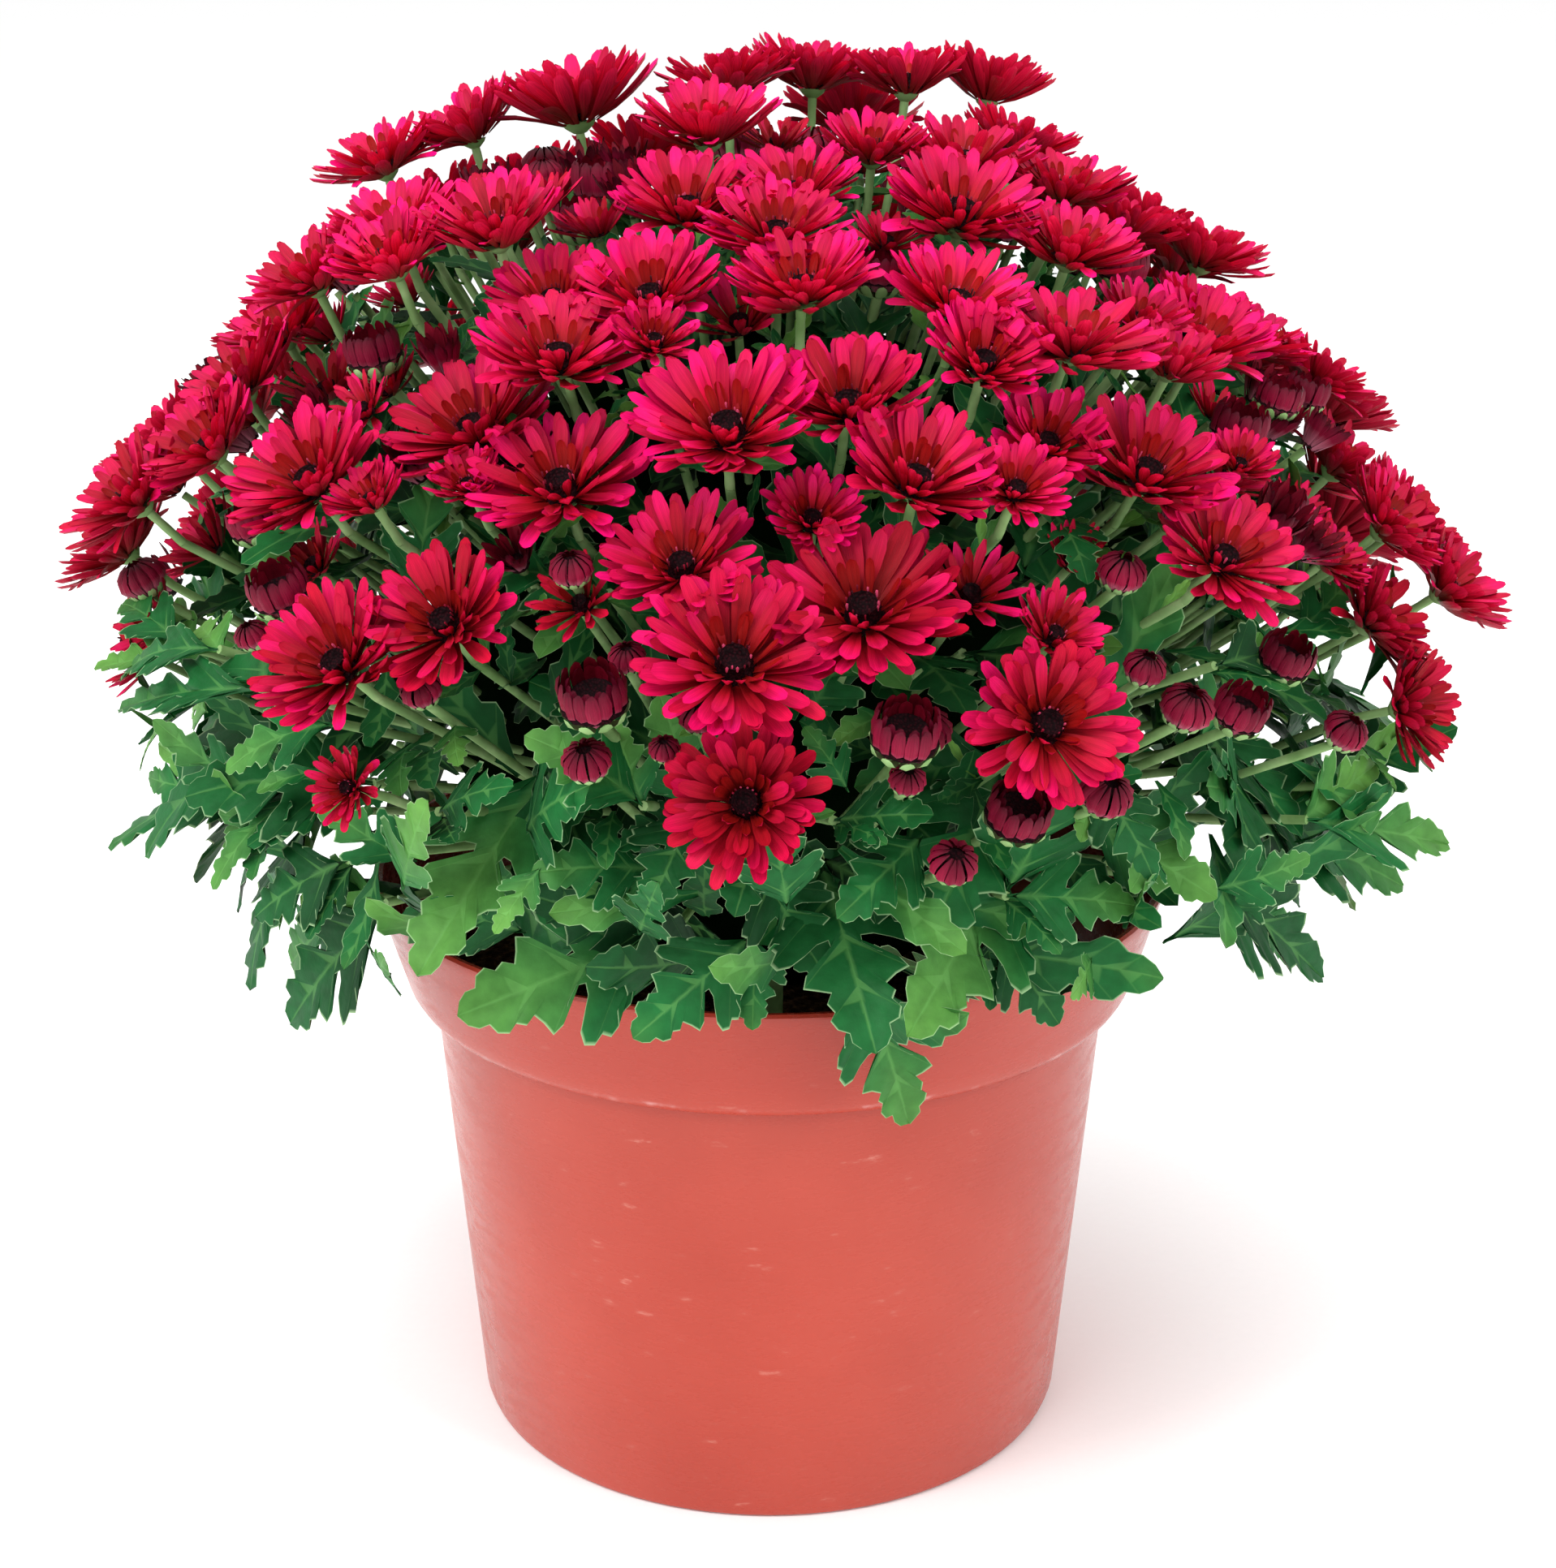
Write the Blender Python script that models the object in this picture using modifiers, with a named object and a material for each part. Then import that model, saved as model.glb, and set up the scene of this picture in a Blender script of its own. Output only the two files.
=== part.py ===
"""A pot chrysanthemum in full flower, in a round plastic pot.

Metres, +Z up. The origin is at the middle of the flat face the pot stands on, and -Y is the
front. Five rooted cuttings stand in the soil. Each is one green piece: its main stem, a core of
dense foliage, and the stalks, leaves and unopened flowers that stand out of the core. The open
flowers sit 0.3 mm clear on their stalks, and those that grow into each other make one red piece.
"""
import math
import random
from collections import namedtuple

import bmesh
import bpy
import numpy as np
from mathutils import Matrix, Vector

# Driving sizes of the pot
RIM_RADIUS = 0.0950
POT_HEIGHT = 0.1385
COLLAR_FOOT = 0.1100        # height where the collar steps out from the body
COLLAR_FOOT_RADIUS = 0.0823
BODY_TOP_RADIUS = 0.0815
BASE_RADIUS = 0.0725
POT_WALL = 0.0018
FLOOR_TOP = 0.0040
GROOVE_DEPTH = 0.0020       # ring under the base where the drain holes are
DRAIN_HOLES = 6
DRAIN_RADIUS = 0.0045
POT_STEPS = 24

# Soil
SOIL_TOP = 0.1150
SOIL_STEPS = 18
GAP = 0.0003                # between two solids that touch

# Crown of flowers: an ellipsoid that the flowers' eyes lie on
DOME_RADIUS = 0.155
DOME_HEIGHT = 0.128
DOME_MIDDLE = 0.190
FACE_UP = 0.50              # how far a flower turns up from the dome's own normal
FACE_OUT_BELOW = 0.165      # and below this height it doesn't

# The place the plant is seen from. A flower or leaf is named by the point where it is seen
VIEW_FROM = Vector((0.0, -0.6496, 0.3858))
VIEW_DOWN = 0.339           # radians below level
VIEW_FOCAL = 3544.0         # focal length in pixels
VIEW_CENTRE = (948.2, 966.0)

# Cuttings
CUTTINGS = 5
FIRST_EDGE = math.radians(-126.0)   # so that a cutting stands at the middle of the front
ROOT_RING = 0.040
ROOT_DEPTH = 0.022
MAIN_STEM_RADIUS = 0.0030
ROOT_SLACK = 0.0009         # its hole's corners stand out this much, and its flats less
CORE_SHARE = 0.62           # leafy core of a cutting, as a share of the dome
CORE_TIERS = (30.0, 56.0, 80.0, 104.0, 124.0, 146.0)    # degrees from the top
CORE_SEAM = 0.0008          # the cores are shifted out by this much
STALK_START = 0.56          # where stalks start inside it
LEAF_START = 0.50
STALK_SOURCE = 0.150        # height on the axis that the stalks fan out from
STALK_RADIUS = 0.0010
CALYX_RADIUS = 0.0034
CALYX_LENGTH = 0.0050

LEAF_TRIES = 60
LEAF_LOW = 0.118            # no leaf by rule hangs lower than this,
FRONT_LOW = 0.150           # nor in the front third than this, where the photo shows the rim
LEAF_ROOM = 0.0015
RIM_CLEAR = 0.0030          # between a leaf and the pot's rim
BLADE_RIB = 0.0016          # thickness of a leaf at its midrib
SEED = 19
SMALL_BLOOM = 0.0159        # flowers of a smaller radius have six petals in a row, others seven
HIDDEN_TRIES = 240
SMALL_TRIES = 260
HIDDEN_SMALL = 6            # buds on the sides that aren't seen
BUD_REACH = 1.02            # no bud stands further out than this share of the dome
FLOWER_TOP = 0.3215         # height that no open flower's eye stands above
SIDE_FRONT = 0.030          # in front of this, hidden flowers of the sides keep above
SIDE_LOW = 0.205            # this height, where the photo shows only leaves
BLOOM_NODES = 53
BIGGEST_CLUSTER = 4
SETTLE_ROUNDS = 400
MATE_NEAR = 0.745           # two flowers of a cluster stand this far apart, as a share of
MATE_FAR = 0.76             # their radii together, and one is this far above the other
MATE_STEP = 0.02
OVERHANG = 0.0050           # a stalk passes a lower flower at this distance
CLEARANCE = 0.0006

Bloom = namedtuple("Bloom", "eye_x eye_y across sink")
Leaf = namedtuple("Leaf", "base_x base_y tip_x tip_y wide base_sink tip_sink")

# Open flowers that show: where the eye is seen, width in mm, and depth below the dome in mm
SEEN_BLOOMS = [Bloom(*row) for row in (
    (702, 96, 38, 0), (868, 156, 31, 0), (932, 74, 30, 0), (976, 98, 30, 0),
    (1056, 104, 29, 2), (1135, 108, 28, 0), (1150, 164, 33, 0), (1096, 192, 24, 5),
    (1210, 140, 28, 0), (1292, 176, 28, 2), (1350, 186, 28, 0), (1416, 214, 29, 2),
    (1310, 238, 28, 4), (1230, 266, 34, 0), (1272, 312, 30, 3), (1416, 264, 24, 5),
    (1484, 308, 26, 3), (1545, 290, 28, 0), (1524, 360, 31, 0), (1620, 376, 28, 2),
    (1292, 394, 33, 0), (1408, 384, 22, 7), (1168, 384, 30, 3), (984, 230, 28, 4),
    (852, 262, 30, 4), (914, 302, 30, 6), (804, 330, 30, 3), (718, 360, 33, 0),
    (698, 414, 26, 10), (622, 300, 31, 2), (600, 160, 28, 2), (516, 198, 30, 0),
    (474, 302, 30, 0), (482, 356, 28, 3), (392, 386, 28, 3), (334, 376, 28, 3),
    (286, 448, 31, 0), (590, 476, 34, 5), (688, 530, 34, 0), (930, 452, 35, 0),
    (964, 368, 30, 6), (1062, 480, 30, 4), (1216, 464, 26, 5), (1286, 538, 24, 5),
    (1396, 546, 33, 0), (1440, 440, 24, 4), (1128, 582, 31, 0), (996, 614, 20, 7),
    (1226, 612, 20, 6), (846, 706, 29, 9), (922, 786, 35, 0), (1058, 730, 36, 1),
    (916, 982, 30, 0), (538, 762, 30, 5), (412, 810, 32, 0), (378, 566, 33, 0),
    (256, 556, 29, 3), (182, 622, 31, 0), (140, 668, 29, 4), (1294, 888, 31, 0),
    (1304, 778, 20, 5), (1498, 678, 29, 0), (1720, 496, 29, 0), (1765, 500, 29, 0),
    (1744, 584, 31, 0), (1790, 640, 29, 0), (1672, 608, 22, 5), (1678, 652, 20, 9),
    (1768, 732, 31, 0), (1760, 804, 27, 2), (478, 610, 18, 6), (424, 970, 16, 3),
    (810, 410, 18, 9), (1524, 568, 16, 4), (592, 566, 16, 6),
)]

# Flowers just opening, as deep red cups
SEEN_CUPS = [Bloom(*row) for row in (
    (1146, 232, 14, 8), (876, 508, 13, 6), (740, 854, 13, 3), (1112, 864, 13, 4),
    (1232, 732, 13, 5), (1288, 976, 13, 3), (750, 212, 14, 8), (1480, 494, 12, 8),
    (384, 696, 12, 5), (1594, 804, 11, 6), (1526, 870, 11, 4), (574, 236, 11, 8),
    (460, 412, 12, 8), (714, 256, 11, 9), (1062, 320, 11, 9), (1380, 316, 11, 8),
    (1568, 472, 10, 8), (1616, 476, 10, 8), (1586, 616, 10, 8), (290, 624, 10, 9),
)]

# Tight buds
SEEN_BUDS = [Bloom(*row) for row in (
    (802, 616, 8, 6), (704, 700, 7, 5), (724, 924, 8, 6), (818, 922, 5, 7),
    (874, 888, 7, 9), (1130, 940, 6, 6), (786, 800, 6, 9), (1200, 904, 9, 5),
    (1360, 976, 9, 6), (1174, 1062, 8, 5), (1404, 692, 8, 8), (1412, 824, 7, 6),
    (1466, 868, 9, 5), (1658, 900, 8, 6), (174, 712, 9, 6), (310, 782, 6, 7),
    (506, 836, 7, 9), (670, 214, 7, 8),
)]

# Leaves that show: where the stalk end and the tip are seen, width in mm, depths in mm
SEEN_LEAVES = [Leaf(*row) for row in (
    (690, 722, 553, 698, 28, 16, 10), (784, 988, 646, 906, 26, 18, 10),
    (784, 1072, 654, 1076, 24, 26, 16), (836, 1040, 800, 1120, 24, 24, 12),
    (930, 1046, 905, 1130, 24, 20, 9), (1452, 832, 1586, 810, 22, 16, 8),
    (1624, 968, 1796, 896, 24, 14, 2), (1610, 1010, 1785, 1040, 26, 16, 4),
    (1490, 1080, 1630, 1205, 28, 26, 10), (228, 796, 150, 744, 18, 12, 4),
    (270, 800, 150, 836, 20, 10, 2), (320, 848, 146, 874, 20, 8, 2),
    (400, 920, 308, 962, 24, 12, 2), (540, 1000, 632, 968, 20, 16, 10),
    (530, 1090, 402, 1170, 26, 24, 10), (930, 1150, 780, 1280, 28, 32, 14),
    (1060, 1190, 1120, 1385, 30, 34, 17), (1225, 1150, 1305, 1262, 24, 32, 18),
    (1240, 1104, 1400, 1116, 24, 24, 12), (1432, 984, 1488, 1068, 24, 18, 8),
    (1080, 1008, 1150, 1004, 20, 14, 8), (1300, 640, 1340, 720, 20, 20, 12),
)]


def clear_scene():
    for item in list(bpy.data.objects):
        bpy.data.objects.remove(item)


def material(name, colour, roughness):
    made = bpy.data.materials.new(name)
    made.use_nodes = True
    shader = made.node_tree.nodes["Principled BSDF"]
    shader.inputs["Base Color"].default_value = (*colour, 1.0)
    shader.inputs["Roughness"].default_value = roughness
    shader.inputs["Metallic"].default_value = 0.0
    return made


def add_object(name, data, collection):
    thing = bpy.data.objects.new(name, data)
    collection.objects.link(thing)
    return thing


def ray_to(x, y):
    """Direction from the viewpoint through a point of the view."""
    ahead = Vector((0.0, math.cos(VIEW_DOWN), -math.sin(VIEW_DOWN)))
    above = Vector((0.0, math.sin(VIEW_DOWN), math.cos(VIEW_DOWN)))
    aside = Vector(((x - VIEW_CENTRE[0]) / VIEW_FOCAL, 0.0, 0.0))
    return (ahead + aside + above * ((VIEW_CENTRE[1] - y) / VIEW_FOCAL)).normalized()


def squash(vector, sink):
    """Scale space so that the dome, sunk by some depth, becomes a unit ball."""
    wide = DOME_RADIUS - sink
    high = DOME_HEIGHT - sink
    return Vector((vector.x / wide, vector.y / wide, vector.z / high))


def on_dome(x, y, sink):
    """Point of the dome seen at a point of the view, or the nearest pass to it."""
    ray = ray_to(x, y)
    start = squash(VIEW_FROM - Vector((0.0, 0.0, DOME_MIDDLE)), sink)
    run = squash(ray, sink)
    half = start.dot(run) / run.length_squared
    rest = half * half - (start.length_squared - 1.0) / run.length_squared
    return VIEW_FROM + ray * (-half - math.sqrt(max(rest, 0.0)))


def facing(point):
    """Where a flower at this point looks: out of the dome and a little up."""
    out = Vector((point.x, point.y, 0.0)) / DOME_RADIUS ** 2
    out.z = (point.z - DOME_MIDDLE) / DOME_HEIGHT ** 2
    lift = FACE_UP * min(1.0, max(0.0, (point.z - FACE_OUT_BELOW) / 0.05))
    return (out.normalized() + Vector((0.0, 0.0, lift))).normalized()


def dome_spot(azimuth, polar, sink):
    """Point of the sunk dome at an azimuth and an angle from its top."""
    ring = (DOME_RADIUS - sink) * math.sin(polar)
    height = DOME_MIDDLE + (DOME_HEIGHT - sink) * math.cos(polar)
    return Vector((ring * math.cos(azimuth), ring * math.sin(azimuth), height))


def hidden_flowers(taken, count, low, high, spread, draw):
    """Fill the sides that are not seen: a spiral of spots clear of the flowers there."""
    found = []
    turn = math.pi * (3.0 - math.sqrt(5.0))
    for step in range(count):
        polar = math.acos(1.0 - 1.10 * (step + 0.5) / count)
        azimuth = step * turn
        radius = 0.0005 * draw.uniform(low, high)
        spot = dome_spot(azimuth, polar, 0.001 * draw.choice((0, 2, 5)))
        toward_view = (VIEW_FROM - spot).normalized()
        if facing(spot).dot(toward_view) > 0.12 or (spot.y < SIDE_FRONT and spot.z < SIDE_LOW):
            continue
        if any((spot - other).length < spread * (radius + wide) for other, wide in taken + found):
            continue
        found.append((spot, radius))
    return found


def pair_push(gap_vector, axis, reach, depth, lower, upper):
    """Shortest way to part two flowers: sideways, or one above the other.

    Lower and upper are the first flower's radius and the second's. The stalk of the one above
    passes beside the one below.
    """
    above = gap_vector.dot(axis)
    sideways = gap_vector - axis * above
    apart = sideways.length
    way = sideways / apart if apart > 1e-6 else axis.orthogonal().normalized()
    beside = (lower if above > 0.0 else upper) + OVERHANG
    if abs(above) >= depth:
        return way * (beside - apart) if apart < beside else None
    if apart >= reach:
        return None
    if reach - apart < 1.4 * (depth - abs(above)):
        return way * (reach - apart)
    return axis * math.copysign(depth - abs(above), above) + way * max(0.0, beside - apart)


def cluster_flowers(spots):
    """Join the flowers that overlap most, until they fit in the nodes there are."""
    leader = list(range(len(spots)))
    size = [1] * len(spots)
    mates = []
    pairs = []
    for first in range(len(spots)):
        for second in range(first + 1, len(spots)):
            apart = (spots[first][0] - spots[second][0]).length
            share = apart / (spots[first][1] + spots[second][1])
            pairs.append((share, first, second))
    groups = len(spots)
    for share, first, second in sorted(pairs):
        one, two = find(leader, first), find(leader, second)
        full = size[one] + size[two] > BIGGEST_CLUSTER
        if one == two or full or (share > 0.80 and groups <= BLOOM_NODES):
            continue
        leader[two] = one
        size[one] += size[two]
        mates.append((first, second))
        groups -= 1
    return [find(leader, index) for index in range(len(spots))], mates


def find(leader, index):
    while leader[index] != index:
        index = leader[index]
    return index


def settle_flowers(spots, seen_count):
    """Part the clusters and draw mates together, moving the flowers that show least."""
    group, mates = cluster_flowers(spots)
    places = [spot.copy() for spot, _ in spots]
    radii = [radius for _, radius in spots]
    weight = [0.35 if index < seen_count else 1.0 for index in range(len(spots))]
    for _ in range(SETTLE_ROUNDS):
        axes = [facing(place) for place in places]
        for first in range(len(places)):
            for second in range(first + 1, len(places)):
                both = radii[first] + radii[second]
                between = places[second] - places[first]
                if between.length > both + CLEARANCE:
                    continue
                axis = (axes[first] + axes[second]).normalized()
                reach, depth = both + CLEARANCE, 0.36 * both + CLEARANCE
                if group[first] == group[second]:
                    reach, depth = MATE_NEAR * both, both
                push = pair_push(between, axis, reach, depth, radii[first], radii[second])
                if push:
                    share = weight[first] / (weight[first] + weight[second])
                    places[first] -= push * share
                    places[second] += push * (1.0 - share)
        for first, second in mates:
            axis = (axes[first] + axes[second]).normalized()
            pull = mate_pull(places[second] - places[first], axis, radii[first] + radii[second])
            places[first] += pull * 0.5
            places[second] -= pull * 0.5
        for place in places:
            place.z = min(place.z, FLOWER_TOP)
    return places, radii, group, mates


def mate_pull(between, axis, both):
    """How far two flowers of a cluster still are from growing into each other."""
    above = between.dot(axis)
    sideways = between - axis * above
    pull = Vector()
    if sideways.length > MATE_FAR * both:
        pull += sideways.normalized() * (sideways.length - MATE_FAR * both)
    if abs(above) > MATE_STEP * both:
        pull += axis * math.copysign(abs(above) - MATE_STEP * both, above)
    return pull


def settle_buds(spots, blooms):
    """Move cups and buds off the open flowers and off each other."""
    places = [spot.copy() for spot, _ in spots]
    for _ in range(120):
        for index, (_, radius) in enumerate(spots):
            for bloom, wide in blooms:
                between = places[index] - bloom
                depth = 0.55 * wide + 1.2 * radius + CLEARANCE
                reach = wide + radius + CLEARANCE
                push = pair_push(between, facing(bloom), reach, depth, wide, radius)
                if push:
                    places[index] += push * 0.6
            for other, (_, wide) in enumerate(spots):
                between = places[index] - places[other]
                lap = 1.5 * (wide + radius) - between.length
                if other != index and lap > 0.0 and between.length > 1e-6:
                    places[index] += between.normalized() * lap * 0.5
            from_middle = places[index] - Vector((0.0, 0.0, DOME_MIDDLE))
            outside = max(1.0, squash(from_middle, 0.0).length / BUD_REACH)
            places[index] -= from_middle * (1.0 - 1.0 / outside)
    return places


def stitch(mesh, single, double):
    """Join a ring of N corners to a ring of 2N corners."""
    count = len(single)
    for k in range(count):
        after = (k + 1) % count
        start, middle, end = double[2 * k], double[2 * k + 1], double[2 * after]
        mesh.faces.new((start, middle, single[k]))
        mesh.faces.new((middle, end, single[k]))
        mesh.faces.new((end, single[after], single[k]))


def band(mesh, low, high):
    """Join two rings of N corners, the high one half a step ahead."""
    count = len(low)
    for k in range(count):
        after = (k + 1) % count
        mesh.faces.new((low[k], high[after], high[k]))
        mesh.faces.new((low[k], low[after], high[after]))


def ring(mesh, count, corners, spin, frame):
    """Corners round the flower's axis; each is (share of a step, radius, height)."""
    made = []
    for k in range(count):
        for shift, radius, height in corners:
            turn = spin + (k + shift) * 2.0 * math.pi / count
            spot = Vector((radius * math.cos(turn), radius * math.sin(turn), height))
            made.append(mesh.verts.new(frame @ spot))
    return made


def fan(mesh, pole, loop):
    for k in range(len(loop)):
        mesh.faces.new((pole, loop[k], loop[(k + 1) % len(loop)]))


def frame_at(place, look):
    return Matrix.Translation(place) @ look.to_track_quat("Z", "Y").to_matrix().to_4x4()


def finish_mesh(name, mesh):
    bmesh.ops.recalc_face_normals(mesh, faces=mesh.faces)
    data = bpy.data.meshes.new(name)
    mesh.to_mesh(data)
    mesh.free()
    return data


def bloom_mesh(name, place, look, radius, petals, spin):
    """An open flower: a row of outer petals, and above it a row of inner ones."""
    mesh = bmesh.new()
    frame = frame_at(place, look)
    heel = mesh.verts.new(frame @ Vector((0.0, 0.0, -0.46 * radius)))
    outer = ring(mesh, petals, ((0.0, radius, 0.06 * radius),
                                (0.5, 0.74 * radius, -0.06 * radius)), spin, frame)
    waist = ring(mesh, petals, ((0.5, 0.52 * radius, 0.06 * radius),), spin, frame)
    inner = ring(mesh, petals, ((0.0, 0.76 * radius, 0.32 * radius),), spin, frame)
    eye = mesh.verts.new(frame @ Vector((0.0, 0.0, -0.02 * radius)))
    fan(mesh, heel, outer)
    stitch(mesh, waist, outer)
    band(mesh, waist, inner)
    fan(mesh, eye, inner)
    return finish_mesh(name, mesh)


# Half a leaf's outline: share of the blade's length, share of its width
LEAF_EDGE = ((0.0, 0.05), (0.15, 0.12), (0.31, 0.47), (0.48, 0.23), (0.68, 0.43))
LEAF_RIB = (0.0, 0.38, 0.68)


def leaf_points(base, tip, wide, up):
    """Both edges of a leaf from its stalk to its tip, its rib, and the way its top faces."""
    along = tip - base
    length = along.length
    across = up.cross(along).normalized()
    top = along.cross(across).normalized()

    def spot(share, aside):
        arch = 0.45 * share * (1.0 - share) * length - 0.30 * abs(aside) * wide
        return base + along * share + across * (aside * wide) + top * arch

    edges = [[spot(share, sign * aside) for share, aside in LEAF_EDGE] for sign in (1.0, -1.0)]
    return edges, [spot(share, 0.0) for share in LEAF_RIB], top


def leaf_mesh(name, foot, base, tip, wide, up):
    """A lobed leaf on its stalk, thick at the rib and thin at its edge."""
    mesh = bmesh.new()
    edges, rib, top = leaf_points(base, tip, wide, up)
    bend = (tip - base).normalized() + (base - foot).normalized()
    across = up.cross(bend).normalized()
    tops = (bend.cross(across).normalized(), top, top)
    edges[0][0] = base + across * (LEAF_EDGE[0][1] * wide)
    edges[1][0] = base - across * (LEAF_EDGE[0][1] * wide)
    start = mesh.verts.new(foot)
    end = mesh.verts.new(tip)
    sides = [[start] + [mesh.verts.new(point) for point in edge] + [end] for edge in edges]
    for lift in (BLADE_RIB / 2, -BLADE_RIB / 2):
        ribs = [mesh.verts.new(point + top * lift) for point, top in zip(rib, tops)]
        for edge in sides:
            for k, near in enumerate((0, 1, 1, 1, 2, 2)):
                mesh.faces.new((edge[k], edge[k + 1], ribs[near]))
            mesh.faces.new((ribs[0], edge[1], ribs[1]))
            mesh.faces.new((ribs[1], edge[4], ribs[2]))
    return finish_mesh(name, mesh)


def leaf_up(base, tip, wanted):
    """Which way a leaf's top faces: as wanted, or inward where it points that way itself."""
    along = (tip - base).normalized()
    if wanted.cross(along).length > 0.5:
        return wanted
    inward = Vector((-base.x, -base.y, 0.0)).normalized()
    return (inward + Vector((0.0, 0.0, 1.0))).normalized()


def leaf_marks(base, tip, wide, up):
    """Points spread over a leaf, to measure its room with."""
    edges, rib, _ = leaf_points(base, tip, wide, up)
    marks = [base, tip] + rib + edges[0] + edges[1]
    return marks + [(one + two) / 2 for one in marks for two in (rib[1], tip)]


def clears_rim(marks):
    """Whether a leaf passes over the pot's rim, or hangs outside it."""
    return all(mark.z > POT_HEIGHT + RIM_CLEAR or
               math.hypot(mark.x, mark.y) > RIM_RADIUS + RIM_CLEAR for mark in marks)


def hangs_low(tip):
    """Whether a leaf's tip would hide the pot, more than the leaves in the photo do."""
    front = -tip.y > 0.5 * math.hypot(tip.x, tip.y)
    return tip.z < (FRONT_LOW if front else LEAF_LOW)


def clears_blooms(marks, blooms, margin=0.0015):
    """Whether points stay out of every open flower and off the calyx under it."""
    for place, radius in blooms:
        look = facing(place)
        for mark in marks:
            above = (mark - place).dot(look)
            aside = (mark - place - look * above).length
            if -0.46 * radius - 0.002 < above < 0.40 * radius and aside < radius + margin:
                return False
    return True


def section(sides, collection):
    """The outline that a stalk is drawn with, one metre in radius and then scaled down."""
    curve = bpy.data.curves.new(f"section_{sides}", "CURVE")
    line = curve.splines.new("POLY")
    line.points.add(sides - 1)
    for k, corner in enumerate(line.points):
        turn = 2.0 * math.pi * k / sides
        corner.co = (math.cos(turn), math.sin(turn), 0.0, 1.0)
    line.use_cyclic_u = True
    outline = add_object(f"section_{sides}", curve, collection)
    outline.hide_render = True
    return outline


def stalk(name, points, radii, sides, collection):
    """A stalk that changes thickness along a poly line, as a curve with capped ends."""
    curve = bpy.data.curves.new(name, "CURVE")
    curve.dimensions = "3D"
    curve.bevel_mode = "OBJECT"
    curve.bevel_object = bpy.data.objects[f"section_{sides}"]
    curve.use_fill_caps = True
    line = curve.splines.new("POLY")
    line.points.add(len(points) - 1)
    for corner, point, radius in zip(line.points, points, radii):
        corner.co = (*point, 1.0)
        corner.radius = radius
    return add_object(name, curve, collection)


def curves_to_meshes(collection):
    """Turn each stalk into a closed mesh, because a Boolean takes no curve."""
    depsgraph = bpy.context.evaluated_depsgraph_get()
    for thing in [item for item in collection.objects if item.type == "CURVE"]:
        data = bpy.data.meshes.new_from_object(thing.evaluated_get(depsgraph))
        mesh = bmesh.new()
        mesh.from_mesh(data)
        bmesh.ops.remove_doubles(mesh, verts=mesh.verts, dist=1e-6)
        bmesh.ops.recalc_face_normals(mesh, faces=mesh.faces)
        mesh.to_mesh(data)
        mesh.free()
        name = thing.name
        bpy.data.objects.remove(thing)
        add_object(name, data, collection)


def fuse(name, scrap, finish, collection):
    """One Boolean union of everything in the scrap collection, applied."""
    pieces = list(scrap.objects)
    body = add_object(name, pieces[0].data, collection)
    bpy.data.objects.remove(pieces[0])
    if len(pieces) > 1:
        join = body.modifiers.new("Join", "BOOLEAN")
        join.operation = "UNION"
        join.solver = "MANIFOLD"
        join.operand_type = "COLLECTION"
        join.collection = scrap
        depsgraph = bpy.context.evaluated_depsgraph_get()
        fused = bpy.data.meshes.new_from_object(body.evaluated_get(depsgraph))
        body.modifiers.clear()
        body.data = fused
    for item in list(scrap.objects):
        bpy.data.objects.remove(item)
    body.data.name = name
    body.data.materials.clear()
    body.data.materials.append(finish)
    return body


def turned(name, profile, steps, collection):
    """A body turned from a half section that runs from axis to axis."""
    mesh = bmesh.new()
    corners = [mesh.verts.new((radius, 0.0, height)) for radius, height in profile]
    for first, second in zip(corners, corners[1:]):
        mesh.edges.new((first, second))
    data = bpy.data.meshes.new(name)
    mesh.to_mesh(data)
    mesh.free()
    body = add_object(name, data, collection)
    screw = body.modifiers.new("Turn", "SCREW")
    screw.steps = steps
    screw.render_steps = steps
    screw.use_merge_vertices = True
    screw.merge_threshold = 0.00001
    return body


def pin_cutter(name, place, radius, bottom, top, collection):
    """A six-sided pin that cuts a plain hole."""
    bpy.ops.mesh.primitive_cylinder_add(vertices=6, radius=radius, depth=top - bottom,
                                        location=(place.x, place.y, (top + bottom) / 2))
    pin = bpy.context.object
    pin.name = name
    for home in list(pin.users_collection):
        home.objects.unlink(pin)
    collection.objects.link(pin)
    pin.hide_render = True
    pin.display_type = "WIRE"
    return pin


def cut_with(body, cutters):
    cut = body.modifiers.new("Holes", "BOOLEAN")
    cut.operation = "DIFFERENCE"
    cut.solver = "EXACT"
    cut.operand_type = "COLLECTION"
    cut.collection = cutters


def pot_profile():
    """Half section of the pot: up the inside, over the rim, down the outside, under the base."""
    inner_base = BASE_RADIUS - POT_WALL
    inner_top = BODY_TOP_RADIUS - POT_WALL
    return (
        (0.0, FLOOR_TOP),
        (inner_base - 0.001, FLOOR_TOP),
        (inner_top, COLLAR_FOOT - 0.001),
        (RIM_RADIUS - 0.0028, POT_HEIGHT),
        (RIM_RADIUS, POT_HEIGHT),
        (RIM_RADIUS - 0.0004, POT_HEIGHT - 0.003),
        (RIM_RADIUS - 0.0043, COLLAR_FOOT + 0.0120),
        (RIM_RADIUS - 0.0064, COLLAR_FOOT + 0.0045),
        (RIM_RADIUS - 0.0084, COLLAR_FOOT + 0.0013),
        (COLLAR_FOOT_RADIUS, COLLAR_FOOT),
        (BODY_TOP_RADIUS, COLLAR_FOOT - 0.0006),
        (BASE_RADIUS, 0.0025),
        (BASE_RADIUS - 0.002, 0.0),
        (BASE_RADIUS - 0.006, 0.0),
        (BASE_RADIUS - 0.008, GROOVE_DEPTH),
        (0.029, GROOVE_DEPTH),
        (0.027, 0.0),
        (0.0, 0.0),
    )


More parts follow.
